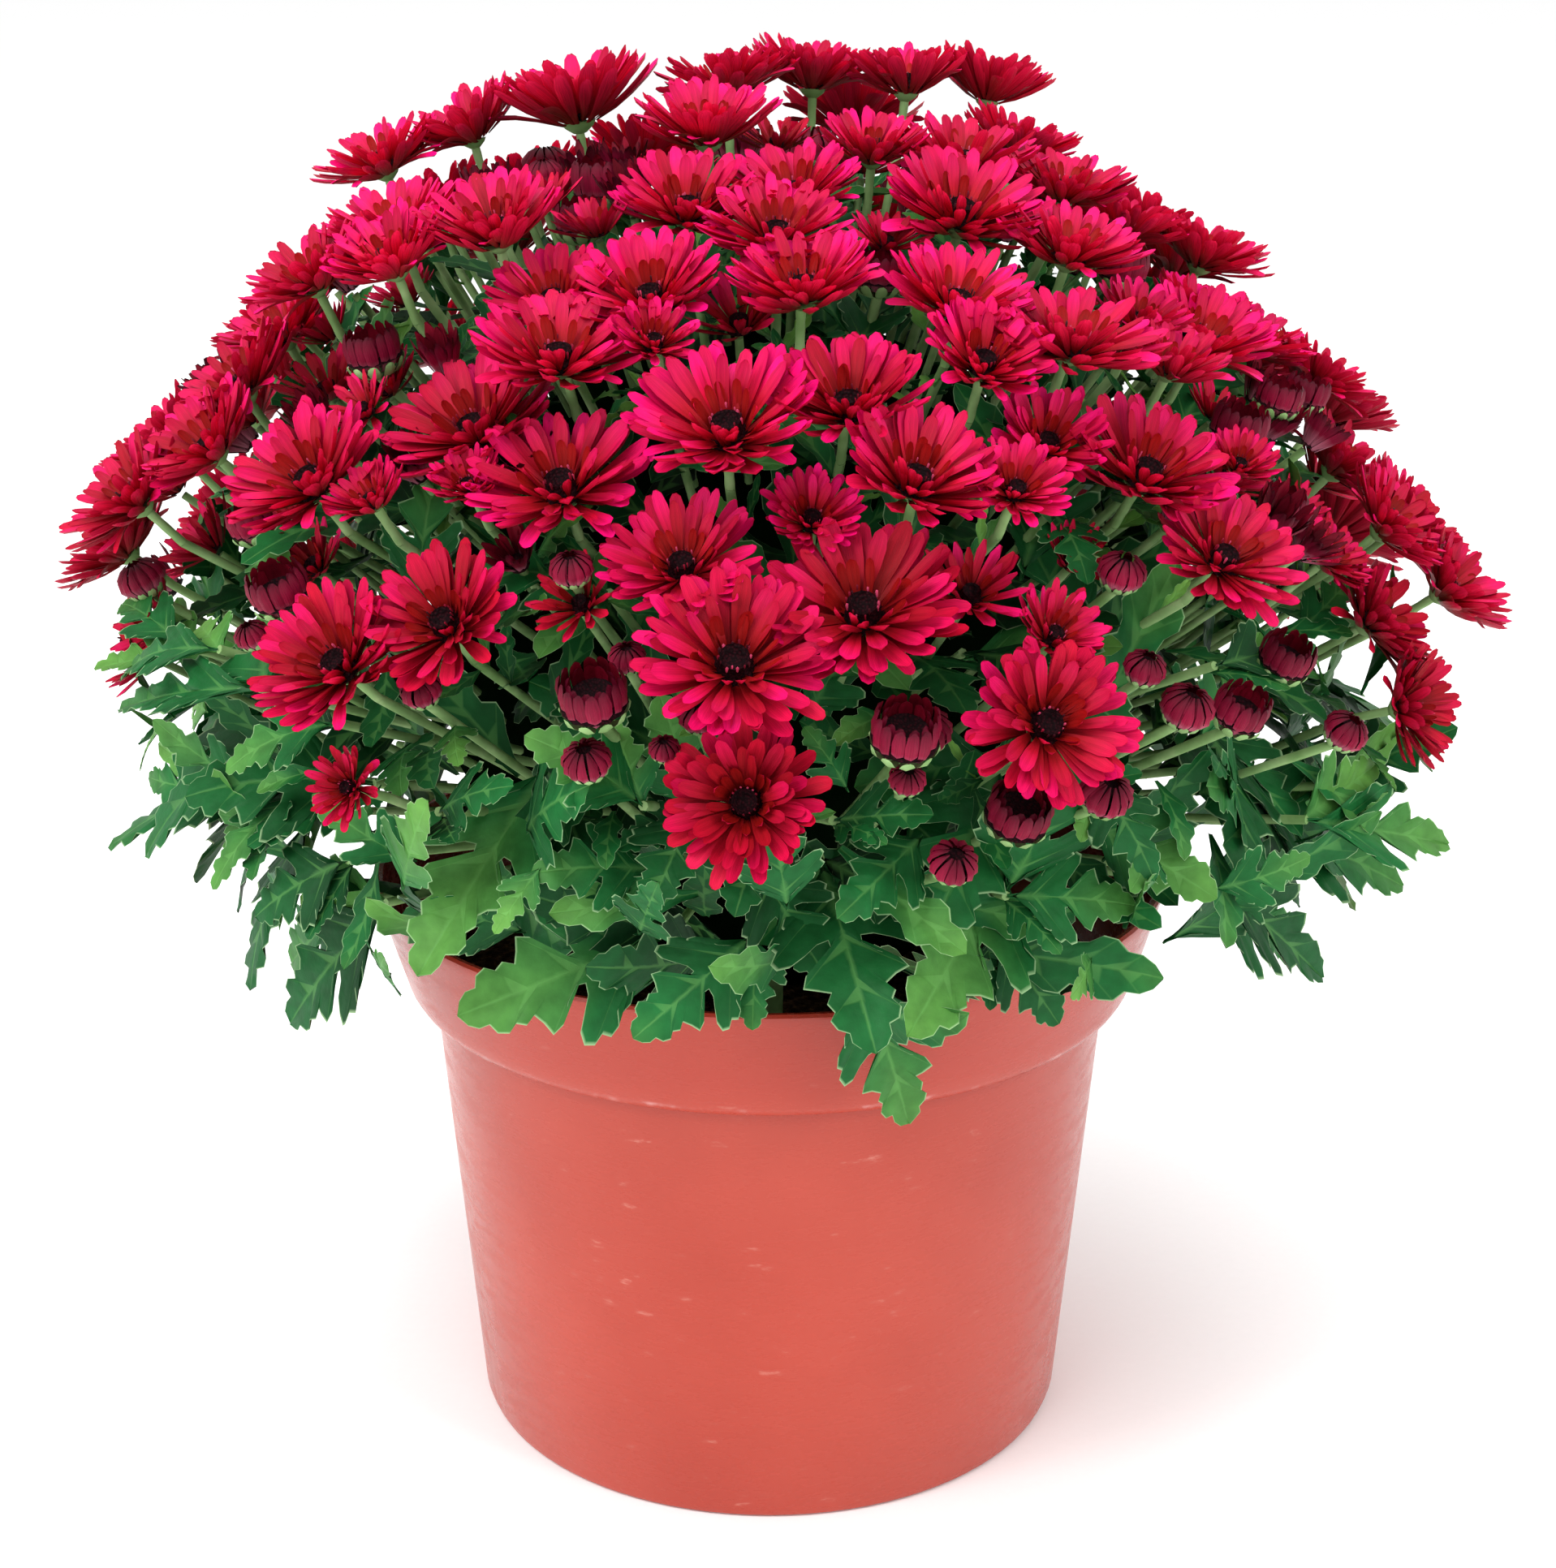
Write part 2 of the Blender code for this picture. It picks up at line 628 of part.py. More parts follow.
def make_pot(collection, cutters, finish):
    pot = turned("pot", pot_profile(), POT_STEPS, collection)
    for k in range(DRAIN_HOLES):
        turn = 2.0 * math.pi * (k + 0.25) / DRAIN_HOLES
        place = Vector((0.047 * math.cos(turn), 0.047 * math.sin(turn), 0.0))
        pin_cutter(f"drain_{k + 1}", place, DRAIN_RADIUS, -0.004, FLOOR_TOP + 0.004, cutters)
    cut_with(pot, cutters)
    pot.data.materials.append(finish)
    return pot


def inner_radius(height):
    """Inside of the pot's body at a height below the collar."""
    low = BASE_RADIUS - POT_WALL - 0.001
    high = BODY_TOP_RADIUS - POT_WALL
    share = (height - FLOOR_TOP) / (COLLAR_FOOT - 0.001 - FLOOR_TOP)
    return low + (high - low) * share


def make_soil(collection, cutters, finish, roots):
    low = FLOOR_TOP + GAP
    rise = SOIL_TOP - 0.004
    slack = GAP + 0.0004            # the pot's facets stand in a little from its circle
    profile = (
        (0.0, SOIL_TOP + 0.002),
        (0.030, SOIL_TOP + 0.001),
        (0.060, SOIL_TOP - 0.001),
        (inner_radius(COLLAR_FOOT - 0.002) - slack, rise - 0.003),
        (inner_radius(COLLAR_FOOT - 0.002) - slack, COLLAR_FOOT - 0.002),
        (inner_radius(low) - slack, low),
        (0.0, low),
    )
    soil = turned("soil", profile, SOIL_STEPS, collection)
    for index, root in enumerate(roots):
        bottom = SOIL_TOP - ROOT_DEPTH - GAP
        pin_cutter(f"root_{index + 1}", root, MAIN_STEM_RADIUS + ROOT_SLACK, bottom,
                   SOIL_TOP + 0.01, cutters)
    cut_with(soil, cutters)
    soil.data.materials.append(finish)
    return soil


def wedge_of(place):
    """Which cutting carries what stands at this azimuth."""
    turn = (math.atan2(place.y, place.x) - FIRST_EDGE) % (2.0 * math.pi)
    return int(turn / (2.0 * math.pi) * CUTTINGS)


def wedge_middle(index):
    return FIRST_EDGE + (index + 0.5) * 2.0 * math.pi / CUTTINGS


def root_spot(index):
    turn = wedge_middle(index)
    return Vector((ROOT_RING * math.cos(turn), ROOT_RING * math.sin(turn), SOIL_TOP))


def on_shell(toward, share, index, margin):
    """Point of the shrunk dome on the way to another point, kept in its cutting's wedge."""
    source = Vector((0.0, 0.0, STALK_SOURCE))
    low, high = 0.0, 1.0
    for _ in range(14):
        middle = (low + high) / 2
        point = source + (toward - source) * middle
        inside = squash(point - Vector((0.0, 0.0, DOME_MIDDLE)), 0.0).length < share
        low, high = (middle, high) if inside else (low, middle)
    return into_wedge(source + (toward - source) * low, index, margin)


def into_wedge(point, index, margin):
    """Turn a point about the pot's axis until it is inside a cutting's wedge."""
    reach = math.hypot(point.x, point.y)
    room = math.pi / CUTTINGS - math.asin(min(0.58, margin / reach))
    off = math.remainder(math.atan2(point.y, point.x) - wedge_middle(index), 2.0 * math.pi)
    turn = wedge_middle(index) + max(-room, min(room, off))
    return Vector((reach * math.cos(turn), reach * math.sin(turn), point.z))


def stalk_start(neck, index, blooms):
    """Where a stalk leaves the core, swung aside until it passes beside every flower."""
    for swing in (0.0, 0.07, -0.07, 0.14, -0.14, 0.22, -0.22, 0.30, -0.30):
        swung = Matrix.Rotation(swing, 3, "Z") @ neck
        start = on_shell(swung, STALK_START, index, 0.0025)
        if clears_blooms([start.lerp(neck, k / 12) for k in range(13)], blooms):
            break
    return start


def core_mesh(name, index, draw):
    """The dense leafy middle of a cutting, which its stalks and leaves stand out of."""
    mesh = bmesh.new()
    middle = wedge_middle(index)
    columns = []
    for column in range(4):
        turn = middle + (column / 1.5 - 1.0) * math.pi / CUTTINGS
        line = []
        for degrees in CORE_TIERS:
            rough = draw.uniform(0.98, 1.04) if column in (1, 2) else 1.0
            spot = dome_spot(turn, math.radians(degrees), 0.0) - Vector((0, 0, DOME_MIDDLE))
            spot = spot * (CORE_SHARE * rough) + Vector((0, 0, DOME_MIDDLE))
            line.append(mesh.verts.new(spot))
        columns.append(line)
    crown = mesh.verts.new((0.0, 0.0, DOME_MIDDLE + DOME_HEIGHT * CORE_SHARE))
    heel = mesh.verts.new((0.0, 0.0, columns[0][-1].co.z))
    for left, right in zip(columns, columns[1:]):
        mesh.faces.new((crown, left[0], right[0]))
        mesh.faces.new((heel, right[-1], left[-1]))
        for k in range(len(CORE_TIERS) - 1):
            mesh.faces.new((left[k], left[k + 1], right[k + 1]))
            mesh.faces.new((left[k], right[k + 1], right[k]))
    for line in (columns[0], columns[-1]):
        mesh.faces.new([crown] + line + [heel])
    shift = Vector((math.cos(middle), math.sin(middle), 0.0)) * CORE_SEAM
    bmesh.ops.translate(mesh, verts=mesh.verts, vec=shift)
    bmesh.ops.triangulate(mesh, faces=mesh.faces)
    return finish_mesh(name, mesh)


def make_cutting(index, ends, leaves, collection, scrap, finish, draw):
    """Main stem, leafy core, a stalk for each flower, cups, buds and leaves, fused."""
    root = root_spot(index)
    foot = root - Vector((0.0, 0.0, ROOT_DEPTH))
    top = Vector((root.x, root.y, DOME_MIDDLE))
    stalk("main", (foot, top), [MAIN_STEM_RADIUS] * 2, 5, scrap)
    add_object("core", core_mesh("core", index, draw), scrap)
    for number, end in enumerate(ends):
        sides = {"bloom": 3, "bud": 4, "cup": 5}[end["kind"]]
        stalk(f"stalk_{number}", end["points"], end["radii"], sides, scrap)
    for number, (base, tip, wide, up) in enumerate(leaves):
        name = f"leaf_{number}"
        foot = on_shell(base, LEAF_START, index, 0.004)
        data = leaf_mesh(name, foot, base, tip, wide, up)
        add_object(name, data, scrap)
    curves_to_meshes(scrap)
    return fuse(f"cutting_{index + 1}", scrap, finish, collection)


def flower_end(kind, place, wide, blooms):
    """A stalk and the flower or bud at its end: the points it runs through, and how thick."""
    look = facing(place)
    if kind == "bloom":
        seat = place - look * (0.46 * wide / 2 + GAP)
        points = [seat - look * CALYX_LENGTH, seat]
        radii = [STALK_RADIUS, CALYX_RADIUS]
    elif kind == "cup":
        points = [place + look * (share * wide) for share in (-0.80, -0.30, 0.16)]
        radii = [STALK_RADIUS, 0.44 * wide, 0.50 * wide]
    else:
        points = [place + look * (share * wide) for share in (-0.62, -0.12, 0.42)]
        radii = [STALK_RADIUS, 0.52 * wide, 0.30 * wide]
    start = stalk_start(points[0], wedge_of(place), blooms)
    return dict(kind=kind, points=[start] + points, radii=[STALK_RADIUS] + radii)


# Tiers of leaves by rule: angle from the top, how many round, depth of the stalk end, depth of
# the tip, length and width in mm
LEAF_TIERS = ((18, 2, 44, 24, 36, 30), (40, 5, 44, 22, 42, 34), (62, 9, 44, 22, 48, 38),
              (82, 12, 44, 18, 50, 40), (99, 14, 40, 10, 50, 40), (112, 14, 34, 6, 46, 38))


def leaf_room(base, tip, wide, lines, blooms, leaves):
    """Least distance from a leaf to stalks, open flowers and other leaves."""
    along = tip - base
    across = along.cross(base - Vector((0.0, 0.0, base.z))).normalized() * wide * 0.4
    middle = base + along * 0.55
    marks = np.array([base, middle, tip, middle + across, middle - across])
    start, end = lines
    run = end - start
    share = np.einsum("lk,mlk->ml", run, marks[:, None] - start) / (run * run).sum(1)
    foot = start + run * np.clip(share, 0.0, 1.0)[..., None]
    room = np.linalg.norm(marks[:, None] - foot, axis=2).min()
    places, radii = blooms
    to_bloom = np.linalg.norm(marks[:, None] - places, axis=2) - radii
    to_leaf = [(middle - (s[0] + s[1]) / 2).length - 0.018 for s in leaves]
    return min([room, to_bloom.min()] + to_leaf)


def stalk_lines(ends):
    """Both ends of every straight stretch of stalk."""
    lines = [pair for own in ends for end in own for pair in zip(end["points"], end["points"][1:])]
    return np.array([start for start, _ in lines]), np.array([end for _, end in lines])


def spread_leaves(blooms, seen, flower_ends, draw):
    """Leaves by rule round the crown, each the clearest of a few tries."""
    places = np.array([place for place, _ in blooms])
    radii = np.array([radius for _, radius in blooms])
    ends = stalk_lines(flower_ends)
    found = []
    for degrees, count, base_sink, tip_sink, length, wide in LEAF_TIERS:
        for k in range(count):
            tries = []
            for _ in range(LEAF_TRIES):
                azimuth = 2.0 * math.pi * (k + draw.random()) / count
                polar = math.radians(degrees + draw.uniform(-9, 9))
                base = dome_spot(azimuth, polar, 0.001 * base_sink)
                tip = dome_spot(azimuth + draw.uniform(-0.3, 0.3), polar + draw.uniform(0, 0.3),
                                0.001 * tip_sink)
                tip = base + (tip - base).normalized() * 0.001 * length * draw.uniform(0.8, 1.1)
                _, base, tip = keep_in_wedge(base, tip, 0.0005 * wide + 0.001)
                up = leaf_up(base, tip, Vector((base.x, base.y, 0.06)).normalized())
                room = leaf_room(base, tip, 0.001 * wide, ends, (places, radii), seen + found)
                if clears_rim(leaf_marks(base, tip, 0.001 * wide, up)) and not hangs_low(tip):
                    tries.append((room, len(tries), base, tip, up))
            if tries and max(tries)[0] > LEAF_ROOM:
                _, _, base, tip, up = max(tries)
                found.append((base, tip, 0.001 * wide, up))
    return found


def seen_leaves(blooms):
    """The leaves that show, sunk until they clear the flowers and lifted off the rim."""
    found = []
    for leaf in SEEN_LEAVES:
        wide = 0.001 * leaf.wide
        for deeper in range(20):
            base = on_dome(leaf.base_x, leaf.base_y, 0.001 * (leaf.base_sink + deeper))
            tip = on_dome(leaf.tip_x, leaf.tip_y, 0.001 * (leaf.tip_sink + deeper))
            _, base, tip = keep_in_wedge(base, tip, 0.5 * wide + 0.001)
            up = leaf_up(base, tip, facing((base + tip) / 2))
            if clears_blooms(leaf_marks(base, tip, wide, up), blooms):
                break
        while not clears_rim(leaf_marks(base, tip, wide, up)):
            base += Vector((0.0, 0.0, 0.001))
            tip += Vector((0.001 * tip.x, 0.001 * tip.y, 0.0)) / math.hypot(tip.x, tip.y)
        found.append((base, tip, wide, up))
    return found


def keep_in_wedge(base, tip, margin):
    """Turn a leaf about the pot's axis until it clears the seam to the next cutting."""
    index = wedge_of((base + tip) / 2)
    middle = wedge_middle(index)
    half = math.pi / CUTTINGS
    turn = 0.0
    for point in (base, tip):
        reach = math.hypot(point.x, point.y)
        room = half - math.asin(min(0.95, margin / reach))
        off = math.remainder(math.atan2(point.y, point.x) - middle, 2.0 * math.pi)
        if abs(off) > room:
            turn_here = math.copysign(room, off) - off
            turn = max(turn, turn_here, key=abs)
    swing = Matrix.Rotation(turn, 3, "Z")
    return index, swing @ base, swing @ tip


def tip_toward(places, mates, index):
    """Direction from a flower to the first one it grows into, if there is one."""
    for first, second in mates:
        if index in (first, second):
            other = second if index == first else first
            return places[other] - places[index]
    return None


def bloom_spin(places, mates, index, draw):
    """Turn a flower so that one petal points to its neighbour in the cluster."""
    way = tip_toward(places, mates, index)
    if way is None:
        return draw.uniform(0.0, 2.0 * math.pi)
    local = facing(places[index]).to_track_quat("Z", "Y").inverted() @ way
    return math.atan2(local.y, local.x)


def place_blooms(draw):
    """All open flowers: their places, radii and clusters, and which ones grow together."""
    seen = [(on_dome(b.eye_x, b.eye_y, 0.001 * b.sink), 0.0005 * b.across) for b in SEEN_BLOOMS]
    spots = seen + hidden_flowers(seen, HIDDEN_TRIES, 30, 35, 0.95, draw)
    return settle_flowers(spots, len(seen))


def place_small(blooms, draw):
    """Cups and buds: what each is, where it stands and its radius."""
    kinds = ["cup"] * len(SEEN_CUPS) + ["bud"] * len(SEEN_BUDS)
    small = [(on_dome(b.eye_x, b.eye_y, 0.001 * b.sink), 0.0005 * b.across)
             for b in SEEN_CUPS + SEEN_BUDS]
    behind = hidden_flowers(blooms + small, SMALL_TRIES, 8, 12, 1.05, draw)
    for spot, radius in behind[:HIDDEN_SMALL]:
        kinds.append(draw.choice(("cup", "cup", "bud")))
        small.append((spot - facing(spot) * 0.006, radius))
    places = settle_buds(small, blooms)
    return [(kind, place, radius) for kind, place, (_, radius) in zip(kinds, places, small)]


def flower_ends(blooms, small):
    """The stalks of each cutting. A bud that can't clear the open flowers is left out."""
    ends = [[] for _ in range(CUTTINGS)]
    for place, radius in blooms:
        ends[wedge_of(place)].append(flower_end("bloom", place, 2.0 * radius, blooms))
    for kind, place, radius in small:
        end = flower_end(kind, place, 2.0 * radius, blooms)
        stem = [end["points"][0].lerp(end["points"][1], k / 12) for k in range(13)]
        if clears_blooms(stem, blooms) and clears_blooms(end["points"][2:], blooms, radius):
            ends[wedge_of(place)].append(end)
    return ends


def make_blooms(places, radii, group, mates, collection, scrap, finish, draw):
    """One red piece for each cluster of open flowers."""
    names = sorted(set(group), key=lambda leader: math.atan2(places[leader].y, places[leader].x))
    for number, leader in enumerate(names):
        for index in [i for i, own in enumerate(group) if own == leader]:
            spin = bloom_spin(places, mates, index, draw)
            petals = 6 if radii[index] < SMALL_BLOOM else 7
            data = bloom_mesh(f"flower_{index}", places[index], facing(places[index]),
                              radii[index], petals, spin)
            add_object(f"flower_{index}", data, scrap)
        fuse(f"blooms_{number + 1:02d}", scrap, finish, collection)


def main():
    draw = random.Random(SEED)
    clear_scene()
    plant = bpy.data.collections.new("pot_chrysanthemum")
    cutters = bpy.data.collections.new("cutters")
    root_cutters = bpy.data.collections.new("root_cutters")
    scrap = bpy.data.collections.new("scrap")
    outlines = bpy.data.collections.new("outlines")
    for group in (plant, cutters, root_cutters, scrap, outlines):
        bpy.context.scene.collection.children.link(group)
    for sides in (3, 4, 5):
        section(sides, outlines)
    petal = material("petal_crimson", (0.62, 0.01, 0.09), 0.55)
    leaf_green = material("leaf_green", (0.05, 0.20, 0.05), 0.60)
    terracotta = material("pot_plastic", (0.58, 0.13, 0.07), 0.45)
    peat = material("soil_peat", (0.03, 0.02, 0.012), 0.95)

    places, radii, clusters, mates = place_blooms(draw)
    blooms = list(zip(places, radii))
    ends = flower_ends(blooms, place_small(blooms, draw))
    leaves = [[] for _ in range(CUTTINGS)]
    shown = seen_leaves(blooms)
    for base, tip, wide, up in shown + spread_leaves(blooms, shown, ends, draw):
        leaves[wedge_of((base + tip) / 2)].append((base, tip, wide, up))

    make_pot(plant, cutters, terracotta)
    make_soil(plant, root_cutters, peat, [root_spot(k) for k in range(CUTTINGS)])
    for index in range(CUTTINGS):
        make_cutting(index, ends[index], leaves[index], plant, scrap, leaf_green, draw)
    make_blooms(places, radii, clusters, mates, plant, scrap, petal, draw)
    for outline in list(outlines.objects):
        bpy.data.objects.remove(outline)


main()
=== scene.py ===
"""The look of a pot chrysanthemum: petals, leaves, stalks, soil and pot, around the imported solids.

Metres, +Z up, -Y towards the front. Each open flower, bud and large leaf stands where its solid
stands. The tables give those places in millimetres.
"""
import math
import random

import bpy
import numpy as np
from mathutils import Matrix, Vector


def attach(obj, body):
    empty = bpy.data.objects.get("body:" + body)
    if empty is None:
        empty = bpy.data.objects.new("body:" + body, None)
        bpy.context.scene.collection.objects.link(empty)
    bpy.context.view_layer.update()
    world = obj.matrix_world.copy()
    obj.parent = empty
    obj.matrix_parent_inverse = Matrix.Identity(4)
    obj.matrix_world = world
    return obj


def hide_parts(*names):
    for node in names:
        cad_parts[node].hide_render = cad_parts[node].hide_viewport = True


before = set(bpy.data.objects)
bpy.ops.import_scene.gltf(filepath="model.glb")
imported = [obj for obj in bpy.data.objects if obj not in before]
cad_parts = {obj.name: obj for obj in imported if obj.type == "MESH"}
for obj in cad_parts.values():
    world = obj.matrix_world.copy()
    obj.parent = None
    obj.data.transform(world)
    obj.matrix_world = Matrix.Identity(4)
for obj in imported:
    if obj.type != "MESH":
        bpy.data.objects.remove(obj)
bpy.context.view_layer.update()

MM = 0.001
CUTTINGS = 5
FIRST_EDGE = math.radians(-126.0)   # seam between cuttings 5 and 1
DOME_RADIUS = 0.155                 # ellipsoid that the flowers' eyes lie on
DOME_HEIGHT = 0.128
DOME_MIDDLE = 0.190
FACE_UP = 0.50
FACE_OUT_BELOW = 0.165
STALK_SOURCE = Vector((0.0, 0.0, 0.150))
RIM_RADIUS = 0.0950
POT_HEIGHT = 0.1385
SOIL_TOP = 0.115
SEED = 7

# Open flowers: number of the cluster, middle and radius in mm
OPEN_FLOWERS = (
    (1, -147.4, -22.2, 222.2, 14.5), (2, -107.9, -22.7, 271.2, 14.0), (2, -114.6, -42.5, 263.4, 15.5),
    (2, -117.5, -63.4, 254.8, 14.5), (2, -135.8, -57.4, 242.4, 15.5), (3, -91.9, -93.7, 254.7, 16.5),
    (3, -77.6, -106.7, 253.5, 9.0), (4, -55.9, -65.2, 300.1, 15.5), (4, -78.6, -43.8, 297.4, 15.0),
    (4, -77.0, -65.5, 293.7, 14.0), (4, -95.3, -54.7, 288.5, 14.0), (5, -81.9, -127.3, 201.0, 8.0),
    (6, -62.5, -125.1, 234.4, 15.0), (6, -83.8, -123.3, 225.6, 16.0), (7, -13.3, -26.7, 315.6, 15.5),
    (8, -59.4, -90.8, 264.8, 17.0), (8, -40.5, -111.8, 258.5, 17.0), (8, -58.5, -107.4, 256.6, 8.0),
    (9, -23.8, -83.3, 289.5, 15.0), (9, -40.8, -97.7, 280.6, 16.5), (9, -43.6, -76.8, 287.6, 13.0),
    (9, -22.0, -99.9, 283.1, 9.0), (10, -8.2, -120.3, 271.5, 17.5), (10, 14.7, -113.2, 274.4, 15.0),
    (10, 27.7, -128.2, 263.3, 15.5), (10, 46.3, -126.2, 260.3, 10.0), (11, -4.7, -151.6, 206.9, 15.0),
    (12, 8.1, -123.2, 253.8, 10.0), (12, -16.6, -130.0, 247.0, 14.5), (12, -6.4, -146.9, 233.3, 17.5),
    (12, 17.1, -137.6, 240.9, 18.0), (13, 5.3, -48.9, 305.3, 14.0), (13, -16.7, -56.0, 303.0, 15.0),
    (13, 1.5, -69.5, 300.0, 15.0), (13, 6.3, -90.0, 292.6, 15.0), (14, 52.2, -142.2, 219.2, 15.5),
    (14, 54.2, -129.1, 232.8, 10.0), (15, 53.9, -105.2, 264.4, 12.0), (15, 74.1, -102.0, 258.5, 16.5),
    (15, 88.2, -113.2, 244.0, 14.5), (16, 59.6, -92.4, 282.6, 16.5), (16, 37.4, -86.2, 289.0, 15.0),
    (16, 41.4, -104.7, 280.4, 13.0), (17, 39.5, -56.4, 302.5, 17.0), (17, 61.5, -63.1, 295.7, 15.0),
    (18, 94.1, -87.0, 255.8, 8.0), (19, 76.4, -60.2, 280.3, 11.0), (19, 81.6, -75.2, 274.0, 12.0),
    (20, 41.9, -21.9, 308.6, 16.5), (20, 22.0, -28.9, 310.9, 12.0), (20, 63.1, -28.0, 303.1, 14.0),
    (21, 110.9, -54.3, 233.4, 11.0), (21, 122.0, -46.3, 225.8, 10.0), (21, 134.5, -43.7, 211.5, 15.5),
    (21, 140.1, -55.6, 194.4, 13.5), (22, 95.3, -16.6, 273.4, 13.0), (22, 109.5, -3.6, 266.4, 14.0),
    (22, 93.3, -38.2, 272.0, 15.5), (22, 126.7, 2.2, 256.1, 14.0), (23, 130.3, -11.6, 239.0, 14.5),
    (23, 138.8, -28.8, 229.1, 14.5), (23, 146.8, -8.0, 224.2, 15.5), (23, 153.9, -26.4, 213.7, 14.5),
    (24, 55.8, 8.2, 307.7, 14.0), (25, 69.2, 16.8, 293.0, 14.0), (25, 79.5, -1.7, 290.9, 14.0),
    (25, 99.0, 4.4, 283.8, 14.5), (25, 87.7, 20.5, 288.3, 12.0), (26, 99.1, 44.0, 276.1, 16.2),
    (27, 122.2, 55.8, 245.9, 16.7), (27, 136.2, 35.8, 241.1, 16.1), (28, 131.2, 68.9, 210.6, 16.5),
    (28, 142.9, 46.2, 208.7, 17.3), (28, 134.0, 81.3, 189.2, 16.3), (29, 83.8, 78.3, 276.1, 17.1),
    (30, 57.6, 63.5, 294.3, 15.4), (31, 72.4, 111.0, 248.7, 15.3), (31, 94.4, 102.2, 244.1, 16.4),
    (32, 72.6, 125.8, 214.9, 15.5), (32, 93.8, 114.9, 209.5, 17.2), (32, 97.6, 122.7, 185.4, 16.5),
    (33, 66.4, 138.1, 186.3, 15.4), (34, 20.1, 53.6, 308.7, 16.4), (35, 27.0, 104.4, 275.5, 16.4),
    (36, 27.8, 136.1, 246.7, 16.7), (37, 21.4, 146.8, 209.3, 17.1), (37, 16.5, 155.7, 186.9, 15.2),
    (38, 10.3, 82.5, 294.2, 16.2), (38, -13.0, 85.6, 292.3, 15.5), (39, -11.3, 116.1, 274.3, 17.1),
    (40, -44.7, 126.4, 246.3, 15.1), (40, -23.8, 135.6, 242.4, 15.4), (41, -55.1, 133.1, 213.4, 15.5),
    (41, -33.8, 143.5, 207.1, 17.2), (41, -65.0, 139.5, 184.8, 15.8), (41, -41.8, 149.1, 182.7, 17.4),
    (42, -9.6, 14.3, 321.5, 15.0), (42, 10.0, 26.0, 321.4, 15.0), (42, 31.3, 19.0, 321.1, 14.5),
    (42, 50.8, 27.1, 318.3, 14.0), (43, -30.5, 43.6, 301.8, 15.0), (44, -67.6, 86.5, 273.8, 16.3),
    (45, -90.6, 104.3, 244.1, 15.2), (46, -102.3, 106.4, 211.8, 15.2), (47, -58.9, 58.3, 291.7, 16.2),
    (47, -79.7, 45.8, 287.6, 16.2), (47, -97.1, 59.8, 276.4, 16.7), (48, -112.7, 105.8, 180.4, 16.5),
    (49, -124.7, 69.1, 240.3, 15.3), (50, -136.1, 66.5, 207.7, 16.9), (51, -44.3, 16.5, 316.2, 19.0),
    (51, -68.3, 15.4, 310.7, 14.0), (51, -88.2, 9.8, 304.5, 15.0), (52, -116.5, 24.4, 264.8, 15.9),
    (53, -143.1, 22.4, 235.6, 16.7),
)

# Flowers just opening: middle and radius in mm
CUPS = (
    (-33.0, -146.5, 226.5, 6.5), (25.3, -151.4, 221.1, 6.5), (48.3, -137.2, 199.8, 6.5),
    (-35.9, -25.0, 305.0, 7.0), (96.7, -73.9, 261.7, 6.0), (-97.1, -108.2, 236.3, 6.0),
    (104.6, -99.8, 219.7, 5.5), (93.4, -115.6, 213.6, 5.5), (-69.6, 5.4, 294.6, 5.5),
    (-82.7, -61.3, 275.0, 6.0), (-40.0, -42.3, 299.1, 5.5), (22.2, -71.3, 292.9, 5.5),
    (75.4, -39.7, 288.3, 5.5), (108.8, -48.3, 262.0, 5.0), (119.6, -21.6, 257.5, 5.0),
    (105.7, -76.6, 245.2, 5.0), (-108.6, -70.0, 240.1, 5.0), (-2.7, 59.4, 299.8, 5.2),
    (-27.4, 65.4, 297.3, 4.9),
)

# Tight buds: middle and radius in mm
BUDS = (
    (-37.1, -128.9, 245.0, 3.5), (-34.2, -141.9, 211.5, 4.0), (-19.6, -143.6, 214.4, 2.5),
    (-13.1, -139.6, 219.8, 3.5), (25.6, -144.5, 208.7, 3.0), (-26.7, -134.0, 229.2, 3.0),
    (29.0, -136.3, 215.8, 4.5), (64.1, -132.9, 201.8, 4.5), (34.4, -146.0, 192.7, 4.0),
    (67.5, -116.4, 241.0, 4.0), (71.7, -123.8, 224.0, 3.5), (80.4, -122.7, 215.8, 4.5),
    (118.1, -90.1, 200.1, 4.0), (-135.9, -47.9, 220.9, 4.5), (-103.5, -97.9, 222.9, 3.0),
    (-67.3, -120.1, 218.4, 3.5), (-49.3, -12.6, 302.6, 3.5), (9.5, 0.0, 306.7, 5.1),
    (-8.9, 33.0, 303.7, 5.8), (-52.7, 37.3, 298.1, 4.9), (33.7, 82.7, 287.8, 5.0),
)

